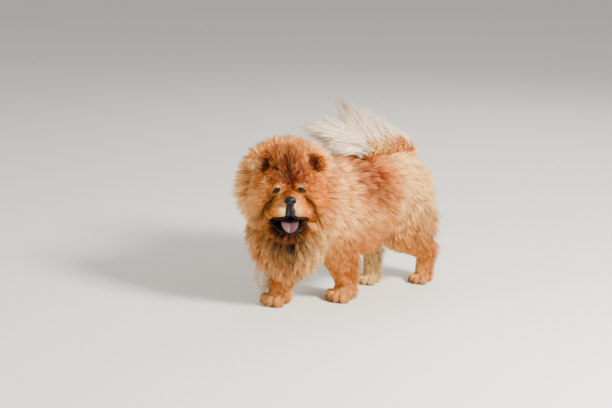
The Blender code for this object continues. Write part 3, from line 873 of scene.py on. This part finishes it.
def rooted(spots, normals, corners, amount, draw):
    """Roots spread over the skin at random, so many to a square metre in each triangle."""
    a, b, c = (spots[corners[:, k]] for k in range(3))
    area = np.linalg.norm(np.cross(b - a, c - a), axis=1) / 2
    weight = area * amount
    total = np.cumsum(weight)
    count = int(total[-1])
    pick = np.searchsorted(total, (np.arange(count) + draw.uniform(0, 1, count)) * total[-1] / count)
    pick = np.clip(pick, 0, len(corners) - 1)
    u, v = draw.uniform(0, 1, (2, count))
    fold = u + v > 1
    u[fold], v[fold] = 1 - u[fold], 1 - v[fold]
    mix = np.stack([1 - u - v, u, v], 1)[:, :, None]
    place = (np.stack([a[pick], b[pick], c[pick]], 1) * mix).sum(1)
    facing = (normals[corners[pick]] * mix).sum(1)
    return place, unit(facing)


def smoothed(values, corners, count, rounds):
    """Values at the skin's corners, averaged with their neighbours."""
    pairs = np.concatenate([corners[:, [0, 1]], corners[:, [1, 2]], corners[:, [2, 0]]])
    number = np.bincount(pairs.ravel(), minlength=count).astype(float) + 1e-9
    for _ in range(rounds):
        total = np.empty_like(values)
        for k in range(values.shape[1]):
            total[:, k] = (
                np.bincount(pairs[:, 0], values[pairs[:, 1], k], count)
                + np.bincount(pairs[:, 1], values[pairs[:, 0], k], count)
            ) / number
        values = total
    return values


# Finishes.

def group_of(name, inputs, outputs):
    """A new node group with its sockets."""
    group = bpy.data.node_groups.new(name, "ShaderNodeTree")
    for label, kind, value in inputs:
        group.interface.new_socket(label, in_out="INPUT", socket_type=kind).default_value = value
    for label, kind in outputs:
        group.interface.new_socket(label, in_out="OUTPUT", socket_type=kind)
    return group


def node(tree, kind, **values):
    """A node with its settings and input values."""
    made = tree.nodes.new(kind)
    for key, value in values.items():
        if key in made.inputs:
            made.inputs[key].default_value = value
        else:
            setattr(made, key, value)
    return made


def mixed(tree, factor, low, high, way="MIX"):
    """A colour mixed from two, and its output socket."""
    mix = tree.nodes.new("ShaderNodeMix")
    mix.data_type = "RGBA"
    mix.blend_type = way
    for socket, value in ((mix.inputs[0], factor), (mix.inputs[6], low), (mix.inputs[7], high)):
        if isinstance(value, bpy.types.NodeSocket):
            tree.links.new(value, socket)
        else:
            socket.default_value = value
    return mix.outputs[2]


def sum_of(tree, kind, *values):
    """A math node over values or sockets."""
    made = tree.nodes.new("ShaderNodeMath")
    made.operation = kind
    for socket, value in zip(made.inputs, values):
        if isinstance(value, bpy.types.NodeSocket):
            tree.links.new(value, socket)
        else:
            socket.default_value = value
    return made.outputs[0]


def coat_group():
    """Turns the markings and the place along a tuft into the colour of the hair."""
    colour = "NodeSocketColor"
    number = "NodeSocketFloat"
    group = group_of("coat_colour", [
        ("Rust share", number, 0.0), ("Cream share", number, 0.0), ("Dark share", number, 0.0),
        ("Along hair", number, 0.5), ("Tuft chance", number, 0.5), ("Root shade", number, 0.38),
        ("Orange", colour, (0.76, 0.185, 0.0, 1)), ("Rust", colour, (0.24, 0.024, 0.0, 1)),
        ("Cream", colour, (1.0, 0.63, 0.24, 1)), ("Dark", colour, (0.012, 0.004, 0.002, 1)),
    ], [("Color", colour), ("Roughness", number)])
    start = node(group, "NodeGroupInput").outputs
    end = node(group, "NodeGroupOutput").inputs
    along, chance = start["Along hair"], start["Tuft chance"]
    sway = sum_of(group, "MULTIPLY", sum_of(group, "SUBTRACT", chance, 0.5), 0.4)
    cream = sum_of(group, "ADD", start["Cream share"], sway)
    cream = sum_of(group, "ADD", cream, sum_of(group, "MULTIPLY", along, 0.07))
    base = mixed(group, start["Rust share"], start["Orange"], start["Rust"])
    base = mixed(group, cream, base, start["Cream"])
    base = mixed(group, start["Dark share"], base, start["Dark"])
    # Each tuft darkens towards its root and brightens at its tip: painted shade deep in the coat.
    depth = node(group, "ShaderNodeMapRange")
    group.links.new(start["Root shade"], depth.inputs["To Min"])
    depth.inputs["To Max"].default_value = 1.16
    group.links.new(along, depth.inputs["Value"])
    luck = sum_of(group, "MULTIPLY_ADD", chance, 0.7, 0.64)
    shade = sum_of(group, "MULTIPLY", depth.outputs[0], luck)
    bright = node(group, "ShaderNodeCombineColor")
    for k in range(3):
        group.links.new(shade, bright.inputs[k])
    result = mixed(group, 1.0, base, bright.outputs[0], "MULTIPLY")
    group.links.new(result, end["Color"])
    rough = node(group, "ShaderNodeMapRange")
    rough.inputs["To Min"].default_value = 0.85
    rough.inputs["To Max"].default_value = 0.6
    group.links.new(along, rough.inputs["Value"])
    group.links.new(rough.outputs[0], end["Roughness"])
    return group


def grain_group():
    """Small bumps for leather, horn and wet skin."""
    number = "NodeSocketFloat"
    group = group_of("skin_grain", [
        ("Scale", number, 400.0), ("Strength", number, 0.3),
    ], [("Height", number), ("Mottle", number)])
    start = node(group, "NodeGroupInput")
    end = node(group, "NodeGroupOutput")
    place = node(group, "ShaderNodeTexCoord")
    cells = node(group, "ShaderNodeTexVoronoi")
    noise = node(group, "ShaderNodeTexNoise")
    for made in (cells, noise):
        group.links.new(place.outputs["Object"], made.inputs["Vector"])
        group.links.new(start.outputs[0], made.inputs["Scale"])
    height = sum_of(group, "MULTIPLY", cells.outputs["Distance"], start.outputs[1])
    group.links.new(height, end.inputs["Height"])
    group.links.new(noise.outputs[0], end.inputs["Mottle"])
    return group


def coat_material(name, group, settings):
    """Hair over the body, coloured by the markings stored on it."""
    material = bpy.data.materials.new(name)
    material.use_nodes = True
    tree = material.node_tree
    shader = tree.nodes["Principled BSDF"]
    shader.inputs["Specular IOR Level"].default_value = 0.12
    colour = node(tree, "ShaderNodeGroup")
    colour.node_tree = group
    for key, value in settings.items():
        colour.inputs[key].default_value = value
    for field, first in (("marking", 0), ("strand", 3)):
        read = node(tree, "ShaderNodeAttribute", attribute_name=field)
        parts = node(tree, "ShaderNodeSeparateXYZ")
        tree.links.new(read.outputs["Vector"], parts.inputs[0])
        for k in range(3 if first == 0 else 2):
            tree.links.new(parts.outputs[k], colour.inputs[first + k])
    tree.links.new(colour.outputs["Color"], shader.inputs["Base Color"])
    tree.links.new(colour.outputs["Roughness"], shader.inputs["Roughness"])
    return material


def leather(name, group, colour, paler, roughness, scale, strength, coat=0.0):
    """Bare skin, horn or wet flesh with its grain."""
    material = bpy.data.materials.new(name)
    material.use_nodes = True
    tree = material.node_tree
    shader = tree.nodes["Principled BSDF"]
    shader.inputs["Roughness"].default_value = roughness
    shader.inputs["Specular IOR Level"].default_value = 0.2
    shader.inputs["Coat Weight"].default_value = coat
    shader.inputs["Coat Roughness"].default_value = 0.15
    grain = node(tree, "ShaderNodeGroup")
    grain.node_tree = group
    grain.inputs["Scale"].default_value = scale
    grain.inputs["Strength"].default_value = strength
    tree.links.new(
        mixed(tree, grain.outputs["Mottle"], (*colour, 1), (*paler, 1)), shader.inputs["Base Color"]
    )
    bump = node(tree, "ShaderNodeBump", Strength=0.5, Distance=0.001)
    tree.links.new(grain.outputs["Height"], bump.inputs["Height"])
    tree.links.new(bump.outputs[0], shader.inputs["Normal"])
    return material


def eye_material():
    """A dark brown eye: black pupil, brown iris, a clear wet surface."""
    material = bpy.data.materials.new("eye_wet")
    material.use_nodes = True
    tree = material.node_tree
    shader = tree.nodes["Principled BSDF"]
    shader.inputs["Roughness"].default_value = 0.12
    shader.inputs["Specular IOR Level"].default_value = 0.3
    shader.inputs["Coat Weight"].default_value = 0.15
    shader.inputs["Coat Roughness"].default_value = 0.03
    read = node(tree, "ShaderNodeAttribute", attribute_name="gaze")
    parts = node(tree, "ShaderNodeSeparateXYZ")
    tree.links.new(read.outputs["Vector"], parts.inputs[0])
    ramp = node(tree, "ShaderNodeValToRGB")
    stops = ramp.color_ramp.elements
    stops[0].position, stops[0].color = 0.5, (0.05, 0.028, 0.02, 1)
    stops[1].position, stops[1].color = 0.6, (0.012, 0.004, 0.002, 1)
    for place, tone in ((0.82, (0.022, 0.007, 0.003, 1)), (0.88, (0.001, 0.001, 0.001, 1))):
        stop = stops.new(place)
        stop.color = tone
    tree.links.new(parts.outputs[0], ramp.inputs[0])
    tree.links.new(ramp.outputs[0], shader.inputs["Base Color"])
    return material


# The skin.

EYE_WELL = Vector((0.0135, 0.02, 0.0056))


def skin_object(regions):
    """One closed skin over head, trunk, legs, paws and tail, with the mouth and ears hollowed."""
    fine, coarse = [], []
    for name, shapes in regions.items():
        (fine if name == "head" or "paw" in name else coarse).extend(shapes)
    skin = grown(solid_of(coarse), BODY_GRAIN, 6)
    face = grown(solid_of(fine), FINE_GRAIN, 3)
    hollows = head_egg(MOUTH, (0.074, 0.085, 0.029), tilt=MOUTH_TILT)
    place = head_frame()
    for side in (1, -1):
        lean = Matrix.Rotation(side * EAR_LEAN, 3, "Y")
        at = Vector((side * EAR.x, EAR.y, EAR.z)) + lean @ Vector(EAR_HOLLOW)
        hollows.append(egg(place @ at, (0.029, 0.018, 0.035), place.to_3x3() @ lean))
        slant = Matrix.Rotation(side * EYE_SLANT, 3, "Y")
        eye = Vector((side * EYE.x, EYE.y + 0.006, EYE.z))
        hollows.append(egg(place @ eye, EYE_WELL, place.to_3x3() @ slant))
    for hollow in hollows:
        carved(face, solid_of([hollow]), "DIFFERENCE")
    return carved(skin, face, "UNION")


def skin_unwrap(spots, corners, share):
    """A UV place for each face corner, with one block of the unwrap for each region."""
    owner = np.stack(list(share.values()), 1).argmax(1)
    a, b, c = (spots[corners[:, k]] for k in range(3))
    facing = unit(np.cross(b - a, c - a))
    cell = owner[corners[:, 0]]
    uv = np.empty((corners.size, 2))
    for number in range(len(share)):
        rows = np.flatnonzero(cell == number)
        if len(rows) == 0:
            continue
        each = spots[corners[rows]].reshape(-1, 3)
        uv[(rows[:, None] * 3 + np.arange(3)).ravel()] = unwrap(
            each, np.repeat(facing[rows], 3, 0), np.full(len(each), number), len(share)
        )
    return uv


def dressed_skin(skin, regions, material):
    """Gives the skin its markings, its unwrap and its finish."""
    spots, _, corners = mesh_arrays(skin.data)
    share = belonging(regions, spots, SKIN_BLEND)
    # The skin is coloured as a tuft a third of the way up, darker than the hair: painted shade under
    # the coat.
    skin.data = mesh_of("skin", spots, corners, skin_unwrap(spots, corners, share), {
        "marking": markings(spots, share),
        "strand": np.tile((0.3, 0.5, 0.0), (len(spots), 1)),
    })
    flesh_nodes = ["head", "jaw", "mane", "torso", "ear_left", "ear_right"]
    for name in PAWS:
        flesh_nodes += [name, name.replace("paw", "leg")]
    return dressed(skin, "skin", material, "body_coat", *flesh_nodes)


# The coat. Each piece has its slot and a rule over region r, spot p and head spot f.

PIECES = {
    "face_coat": ("head_coat", lambda r, p, f: (r == "head") & (f[:, 1] > FACE_BACK)),
    "crown_coat": ("head_coat", lambda r, p, f: (r == "head") & (f[:, 1] <= FACE_BACK)),
    "ruff_left_coat": ("mane_coat", lambda r, p, f: high_mane(r, p) & (f[:, 0] < 0)),
    "ruff_right_coat": ("mane_coat", lambda r, p, f: high_mane(r, p) & (f[:, 0] >= 0)),
    "chest_coat": ("mane_coat", lambda r, p, f: (r == "mane") & (p[:, 2] <= CHEST_TOP)),
    "flank_left_coat": ("body_coat", lambda r, p, f: fore_torso(r, p) & (p[:, 0] >= 0)),
    "flank_right_coat": ("body_coat", lambda r, p, f: fore_torso(r, p) & (p[:, 0] < 0)),
    "rump_coat": ("body_coat", lambda r, p, f: (r == "torso") & (p[:, 1] >= RUMP_FRONT)),
    "foreleg_coat": ("leg_coat", lambda r, p, f: (r == "foreleg_left") | (r == "foreleg_right")),
    "hindleg_left_coat": ("leg_coat", lambda r, p, f: r == "hindleg_left"),
    "hindleg_right_coat": ("leg_coat", lambda r, p, f: r == "hindleg_right"),
    "paw_coat": ("paw_coat", lambda r, p, f: np.char.find(r.astype(str), "paw") > 0),
    "tail_root_coat": ("tail_coat", lambda r, p, f: r == "tail"),
}
CURVED = {"ruff_left_coat", "ruff_right_coat", "chest_coat"}
LOCK_SIZE = {
    "chest_coat": 15, "ruff_left_coat": 13, "ruff_right_coat": 13, "rump_coat": 12,
    "flank_left_coat": 12, "flank_right_coat": 12,
}
SMALL_LOCK = 11
CALM_HEAD = 0.75


def high_mane(region, spots):
    return (region == "mane") & (spots[:, 2] > CHEST_TOP)


def fore_torso(region, spots):
    return (region == "torso") & (spots[:, 1] < RUMP_FRONT)


def coat_roots(skin, regions):
    """Where tufts root over the whole skin, and the way they face."""
    spots, normals, corners = mesh_arrays(skin.data)
    spots = spots - np.array(SHIFT)
    amount = np.zeros(len(spots))
    for name, part in belonging(regions, spots, HAIR_BLEND).items():
        kind = next(key for key in DENSITY if key in name)
        amount += part * DENSITY[kind]
    amount *= 1 - bare(spots)
    soft = unit(smoothed(normals, corners, len(spots), 4))
    chance = np.random.default_rng(ROOT_SEED)
    return rooted(spots, soft, corners, amount[corners].mean(1), chance)


def coat(skin, regions, material):
    """All the hair that grows from the skin, in its pieces."""
    roots, facing = coat_roots(skin, regions)
    share = belonging(regions, roots, HAIR_BLEND)
    region = np.array(list(share))[np.stack(list(share.values()), 1).argmax(1)]
    face = in_head(roots)
    style = hair_style(roots, facing, share)
    colours = markings(roots, share)
    for name, (slot, rule) in PIECES.items():
        mine = np.flatnonzero(rule(region, roots, face))
        count = len(mine)
        draw = np.random.default_rng(sum(map(ord, name)))
        part = {key: value[mine] for key, value in style.items()}
        paths = strand_paths(roots[mine], facing[mine], part, 3 if name in CURVED else 2, draw)
        locks = max(count // LOCK_SIZE.get(name, SMALL_LOCK), 1)
        guides = draw.choice(count, locks, replace=False)
        owner = nearest_guide(roots[mine], roots[mine][guides])
        paths = gathered(paths, paths[guides], owner, part["clump"], part["wave"], draw)
        spread = CALM_HEAD if slot == "head_coat" else 1.0
        luck = 0.24 * draw.normal(size=locks)[owner] + 0.14 * draw.normal(size=count)
        luck = np.clip(0.5 + spread * luck, 0, 1)
        widths = part["width"] * draw.uniform(0.8, 1.2, count)
        uv = unwrap(roots[mine], facing[mine])
        hair = tufts(name, paths, facing[mine], widths, colours[mine], luck, uv)
        dressed(hair, name, material, slot)


def fanned(values, where):
    """Values of the plume's lies at places between them."""
    where = np.clip(where, 0, len(PLUME) - 1)
    first = np.minimum(where.astype(int), len(PLUME) - 2)
    part = (where - first).reshape(-1, *[1] * (values.ndim - 1))
    return values[first] * (1 - part) + values[first + 1] * part


def plume_paths(draw):
    """The path of each tuft of the plume, gathered in loose locks."""
    roots, tips, bows = (np.array([lie[k] for lie in PLUME]) for k in range(3))
    place = (np.arange(PLUME_LOCKS) + draw.uniform(0, 1, PLUME_LOCKS)) / PLUME_LOCKS
    place = draw.permutation(place) * (len(PLUME) - 1)
    across = draw.normal(0, 0.5, PLUME_LOCKS).clip(-1, 1)
    reach = draw.uniform(0.8, 1.12, PLUME_LOCKS) * (1 - 0.22 * np.abs(across))
    reach[np.abs(place - PLUME_SPIRE) < 0.5] = 1.0
    lock_tip = fanned(tips, place)
    lock_tip[:, 0] += across * PLUME_SIDE
    lock_tip[:, 2] -= np.abs(across) * 0.03

    lock = draw.integers(0, PLUME_LOCKS, PLUME_TUFTS)
    where = place[lock] + draw.normal(0, 0.3, PLUME_TUFTS)
    start = fanned(roots, where) + draw.normal(0, 1, (PLUME_TUFTS, 3)) * (0.012, 0.014, 0.006)
    start[:, 0] += across[lock] * 0.012
    start[:, 2] -= 0.01
    length = reach[lock] * (1 - 0.6 * draw.uniform(0, 1, PLUME_TUFTS) ** 1.7)
    loose = draw.uniform(0.1, 0.75, PLUME_TUFTS)[:, None]
    own = fanned(tips, where)
    own[:, 0] += across[lock] * PLUME_SIDE
    goal = lock_tip[lock] + (own - lock_tip[lock]) * loose
    goal += draw.normal(0, 1, (PLUME_TUFTS, 3)) * (0.011, 0.009, 0.009) * (0.4 + loose)
    end = start + (goal - start) * length[:, None]
    bow = directions(across[lock] * 0.012, 0, fanned(bows, where))
    wave = draw.normal(0, 0.0035, (PLUME_TUFTS, 2, 3))
    paths = np.stack([
        start, start + (end - start) * 0.36 + bow + wave[:, 0],
        start + (end - start) * 0.72 + bow * 0.9 + wave[:, 1], end,
    ], 1)
    above = np.clip(paths[:, :, 2] - PLUME_TOP, 0, None)
    paths[:, :, 2] -= above - PLUME_ROUNDING * np.tanh(above / PLUME_ROUNDING)
    return paths, lock


def plume_coat(material):
    """The tail's long plume: loose locks fanned up and forward over the back."""
    draw = np.random.default_rng(PLUME_SEED)
    paths, lock = plume_paths(draw)
    luck = (0.5 + 0.2 * draw.normal(size=PLUME_LOCKS)[lock] + 0.15 * draw.normal(size=PLUME_TUFTS))
    facing = unit(draw.normal(size=(PLUME_TUFTS, 3)) * (1, 0.4, 0.4))
    low = ease(paths[:, 0, 1], 0.12, 0.3)
    golden = low * draw.uniform(0.5, 1.2, PLUME_TUFTS)
    fade = np.append(np.repeat((0.75, 0.5, 0.15), 3), 0.0)
    cream = 1 - golden[:, None] * fade[None] - draw.uniform(0, 0.16, PLUME_TUFTS)[:, None]
    marking = np.stack([np.zeros_like(cream), cream, np.zeros_like(cream)], 2)
    widths = draw.uniform(0.0012, 0.0024, PLUME_TUFTS)
    uv = unwrap(paths[:, 0], facing)
    hair = tufts("plume_coat", paths, facing, widths, marking, luck.clip(0, 1), uv)
    dressed(hair, "plume_coat", material, "tail_coat", "tail")


def feather_coat(material):
    """The long pale feather that hangs outside the right foreleg."""
    draw = np.random.default_rng(FEATHER_SEED)
    count = FEATHER_TUFTS
    aside = draw.normal(0, 1, (count, 3)).clip(-1.8, 1.8)
    start = FEATHER_ROOT + aside * (0.014, 0.022, 0.02)
    end = FEATHER_TIP + (aside + draw.normal(0, 0.7, (count, 3))) * (0.011, 0.017, 0.008)
    end[:, 2] += draw.exponential(0.035, count)
    bow = np.array((-0.006, -0.004, 0.0)) + draw.normal(0, 0.004, (count, 3))
    upper = start + (end - start) * 0.4 + bow
    lower = start + (end - start) * 0.75 + bow
    paths = np.stack([start, upper, lower, end], 1)
    guides = draw.choice(count, count // FEATHER_LOCK, replace=False)
    owner = nearest_guide(start, start[guides])
    firm = np.full(count, 0.45)
    paths = gathered(paths, paths[guides], owner, firm, firm, draw)
    facing = unit(np.array((-0.7, -0.7, 0.1)) + draw.normal(0, 0.4, (count, 3)))
    marking = np.tile((0.0, 1.0, 0.0), (count, 1))
    luck = (0.6 + 0.2 * draw.normal(size=len(guides))[owner]).clip(0, 1)
    widths = draw.uniform(0.0016, 0.0028, count)
    hair = tufts("feather_coat", paths, facing, widths, marking, luck, unwrap(start, facing))
    dressed(hair, "feather_coat", material, "leg_coat")


# Bare parts of the face.

def ball(centre, radii, turn=None, segments=32):
    return solid_of([egg(centre, radii, turn)], segments)


def eyes(wet, lid_finish):
    """Each eye in its dark lids, drawn wide as painted shade round the eye too."""
    place = head_frame()
    for name, side in (("left", -1), ("right", 1)):
        at = place @ Vector((side * EYE.x, EYE.y - 0.002, EYE.z))
        eye = ball(at, (EYE_RADIUS,) * 3, segments=40)
        spots = np.array([corner.co for corner in eye.data.vertices])
        look = np.array(place.to_3x3() @ Vector((side * 0.12, 1, -0.05)).normalized())
        toward = (spots - np.array(at)) @ look / EYE_RADIUS
        set_field(eye.data, "gaze", np.stack([toward, toward, toward], 1))
        dressed(eye, f"eye_{name}_wet", wet, "eye", f"eye_{name}")
        lids = lids_and_eye_shade(side)
        dressed(lids, f"eyelids_{name}", lid_finish, "head_coat")


def wrapped(name, shape, rings, looped=False):
    """A closed skin over rings of corners, capped at its ends or looped on itself."""
    if not looped:
        shape.faces.new(rings[0])
        shape.faces.new(rings[-1])
    for low, high in zip(rings, rings[1:] + rings[:1] if looped else rings[1:]):
        for n in range(len(low)):
            shape.faces.new((low[n - 1], low[n], high[n], high[n - 1]))
    bmesh.ops.recalc_face_normals(shape, faces=shape.faces[:])
    return object_of(name, shape)


def lids_and_eye_shade(side):
    """A wide dark rim round an almond opening, sloping down to the outer corner: lid and painted
    shade.
    """
    place = head_frame()
    slant = Matrix.Rotation(side * EYE_SLANT, 3, "Y")
    turns = 44
    points = []
    for n in range(turns):
        angle = 2 * math.pi * n / turns
        x = math.cos(angle) * 0.0126 * (1 + 0.1 * abs(math.cos(angle)) ** 8)
        z = math.sin(angle) * (0.0046 if math.sin(angle) > 0 else 0.0042)
        deep = math.sqrt(max(EYE_RADIUS ** 2 * 1.3 - x * x - z * z, 0)) - 0.001
        spot = Vector((side * EYE.x, EYE.y - 0.002, EYE.z)) + slant @ Vector((x, deep, z))
        points.append(place @ spot)
    shape = bmesh.new()
    rings = []
    for n, point in enumerate(points):
        along = points[(n + 1) % turns] - points[n - 1]
        turn = along.to_track_quat("Z", "Y").to_matrix()
        # The rim is drawn wide, wider above: the dark lid and the painted shade round the eye in one.
        wide = 0.0024 if math.sin(2 * math.pi * n / turns) > 0 else 0.0018
        rings.append([
            shape.verts.new(point + turn @ Vector((math.cos(a), math.sin(a), 0)) * wide)
            for a in (math.pi * k / 4 for k in range(8))
        ])
    return wrapped("lids", shape, rings, looped=True)


def nose_leather(finish):
    """The broad nose with its nostrils and the groove down to the lip."""
    solid = solid_of(
        head_egg(NOSE, (0.0205, 0.0145, 0.0145))
        + head_egg(NOSE + Vector((0.0125, 0.0015, -0.003)), (0.0095, 0.0125, 0.0105), both=True)
        + head_egg((0, 0.128, -0.046), (0.0145, 0.0145, 0.02))
        + head_egg((0.0085, 0.126, -0.067), (0.0105, 0.0135, 0.017), both=True)
    )
    nose = grown(solid, NOSE_GRAIN, 4)
    cuts = head_egg(NOSE + Vector((0.0105, 0.0145, -0.0015)), (0.0042, 0.008, 0.0042), both=True)
    cuts += head_egg(NOSE + Vector((0.0155, 0.0125, -0.0045)), (0.005, 0.006, 0.0018), both=True)
    cuts += head_egg((0, 0.1435, -0.054), (0.0012, 0.0075, 0.032))
    for cut in cuts:
        carved(nose, solid_of([cut], 20), "DIFFERENCE")
    smooth = nose.modifiers.new("smooth", "SMOOTH")
    smooth.iterations = 2
    baked(nose)
    dressed(nose, "nose_leather", finish, "nose", "nose")


def tube(points, radii, sides=10):
    """A closed bent rod through the points."""
    shape = bmesh.new()
    rings = []
    for k, point in enumerate(points):
        along = points[min(k + 1, len(points) - 1)] - points[max(k - 1, 0)]
        turn = along.to_track_quat("Z", "Y").to_matrix()
        ring = []
        for n in range(sides):
            angle = 2 * math.pi * n / sides
            ring.append(shape.verts.new(
                point + turn @ Vector((math.cos(angle), math.sin(angle), 0)) * radii[k]
            ))
        rings.append(ring)
    return wrapped("tube", shape, rings)


def lips(finish):
    """Black rolled lips: the upper dips at the pads and peaks under the nose."""
    place = head_frame()
    upper, lower = [], []
    for k in range(33):
        angle = math.radians(-84 + 168 * k / 32)
        s, c = math.sin(angle), math.cos(angle)
        peak = math.exp(-(s / 0.2) ** 2)
        dip = math.exp(-((abs(s) - 0.62) / 0.25) ** 2)
        rise = -0.093 + 0.012 * peak - 0.006 * dip
        upper.append(place @ Vector((0.078 * s, 0.046 + 0.077 * c, rise)))
        lower.append(place @ Vector((0.07 * s, 0.04 + 0.066 * c, -0.146 + 0.038 * abs(s) ** 4)))
    thick = [0.002 + 0.0012 * math.sin(math.pi * k / 32) for k in range(33)]
    thin = [0.0014 + 0.0006 * math.sin(math.pi * k / 32) for k in range(33)]
    dressed(tube(upper, thick), "lip_upper", finish, "jaw_coat")
    dressed(tube(lower, thin), "lip_lower", finish, "jaw_coat")


def tongue(finish):
    """A broad tongue that lies over the lower lip, hollow along its middle."""
    place = head_frame()
    line = [
        (0.0, -0.118, 0.026), (0.03, -0.11, 0.03), (0.06, -0.106, 0.032), (0.085, -0.111, 0.033),
        (0.103, -0.122, 0.031), (0.113, -0.135, 0.025), (0.1165, -0.1445, 0.013),
        (0.116, -0.147, 0.004),
    ]
    shape = bmesh.new()
    rows = []
    across = 15
    for k, (y, z, wide) in enumerate(line):
        y0, z0, _ = line[max(k - 1, 0)]
        y1, z1, _ = line[min(k + 1, len(line) - 1)]
        along = Vector((0, y1 - y0, z1 - z0)).normalized()
        up = Vector((0, -along.z, along.y))
        ring = []
        for n in range(2 * across):
            angle = 2 * math.pi * n / (2 * across)
            side, high = math.cos(angle), math.sin(angle)
            hollow = -0.0035 * math.exp(-(side / 0.22) ** 2) + 0.004 * side * side
            thick = 0.0042 if high > 0 else 0.006
            spot = Vector((side * wide, y, z)) + up * (high * thick + hollow)
            ring.append(shape.verts.new(place @ spot))
        rows.append(ring)
    obj = wrapped("tongue", shape, rows)
    smooth = obj.modifiers.new("round", "SUBSURF")
    smooth.levels = smooth.render_levels = 2
    baked(obj)
    dressed(obj, "tongue_wet", finish, "tongue", "tongue")


def claws(finish):
    """A short dark claw at the end of each toe."""
    made = []
    for name, at in PAWS.items():
        for spot, radii in toe_places(at, FOREPAW if name.startswith("fore") else HINDPAW):
            tip = spot + Vector((0, -radii.y - 0.004, -radii.z * 0.55))
            root = spot + Vector((0, -radii.y * 0.7, -radii.z * 0.05))
            bend = root.lerp(tip, 0.55) + Vector((0, -0.0015, 0.002))
            tip.z = max(tip.z, 0.003)
            made.append(tube([root, bend, tip], [0.0032, 0.0026, 0.0007], 8))
    whole = bmesh.new()
    for claw in made:
        whole.from_mesh(claw.data)
        bpy.data.objects.remove(claw)
    dressed(object_of("claws", whole), "claws", finish, "paw_coat")


# The studio.

def studio():
    """Pale floor, soft lights and the camera."""
    floor = bmesh.new()
    bmesh.ops.create_grid(floor, x_segments=2, y_segments=2, size=40)
    obj = object_of("floor", floor)
    material = bpy.data.materials.new("floor_pale")
    material.use_nodes = True
    shader = material.node_tree.nodes["Principled BSDF"]
    shader.inputs["Base Color"].default_value = FLOOR_COLOUR
    shader.inputs["Roughness"].default_value = 0.9
    obj.data.materials.append(material)
    world = bpy.data.worlds.new("studio")
    world.use_nodes = True
    sky = world.node_tree.nodes["Background"]
    sky.inputs[0].default_value = SKY_COLOUR
    sky.inputs[1].default_value = SKY_STRENGTH
    bpy.context.scene.world = world
    for spot, size, power in LAMPS:
        lamp = bpy.data.objects.new("lamp", bpy.data.lights.new("lamp", "AREA"))
        lamp.data.size = size
        lamp.data.energy = power
        lamp.data.color = LAMP_COLOUR
        lamp.location = spot
        lamp.rotation_euler = (LAMP_AIM - Vector(spot)).to_track_quat("-Z", "Y").to_euler()
        bpy.context.scene.collection.objects.link(lamp)
    camera = bpy.data.objects.new("camera", bpy.data.cameras.new("camera"))
    bpy.context.scene.collection.objects.link(camera)
    bpy.context.scene.camera = camera
    back = Vector((
        math.sin(CAMERA_AZIMUTH) * math.cos(CAMERA_ELEVATION),
        -math.cos(CAMERA_AZIMUTH) * math.cos(CAMERA_ELEVATION),
        math.sin(CAMERA_ELEVATION),
    ))
    camera.location = CAMERA_AIM + SHIFT + back * CAMERA_FAR
    camera.rotation_euler = (-back).to_track_quat("-Z", "Y").to_euler()
    camera.data.sensor_width = CAMERA_SENSOR
    camera.data.lens = CAMERA_LENS


def main():
    regions = flesh()
    grain = grain_group()
    tones = coat_group()
    hair = coat_material("coat_hair", tones, {})
    pale = coat_material("plume_hair", tones, {
        "Cream": (1.0, 0.86, 0.7, 1), "Orange": (0.9, 0.36, 0.06, 1), "Root shade": 0.72,
    })
    skin = dressed_skin(skin_object(regions), regions, hair)
    coat(skin, regions, hair)
    plume_coat(pale)
    feather_coat(pale)
    black = leather("nose_black", grain, (0.004, 0.004, 0.005), (0.012, 0.011, 0.012), 0.42, 700, 0.5)
    lip = leather("lip_black", grain, (0.002, 0.001, 0.001), (0.005, 0.003, 0.003), 0.6, 300, 0.2)
    wet = leather(
        "tongue_wet", grain, (0.07, 0.029, 0.036), (0.105, 0.046, 0.056), 0.55, 900, 0.35, 0.05
    )
    horn = leather("claw_horn", grain, (0.035, 0.028, 0.025), (0.09, 0.07, 0.06), 0.4, 500, 0.2)
    eyes(eye_material(), lip)
    nose_leather(black)
    lips(lip)
    tongue(wet)
    claws(horn)
    studio()


main()
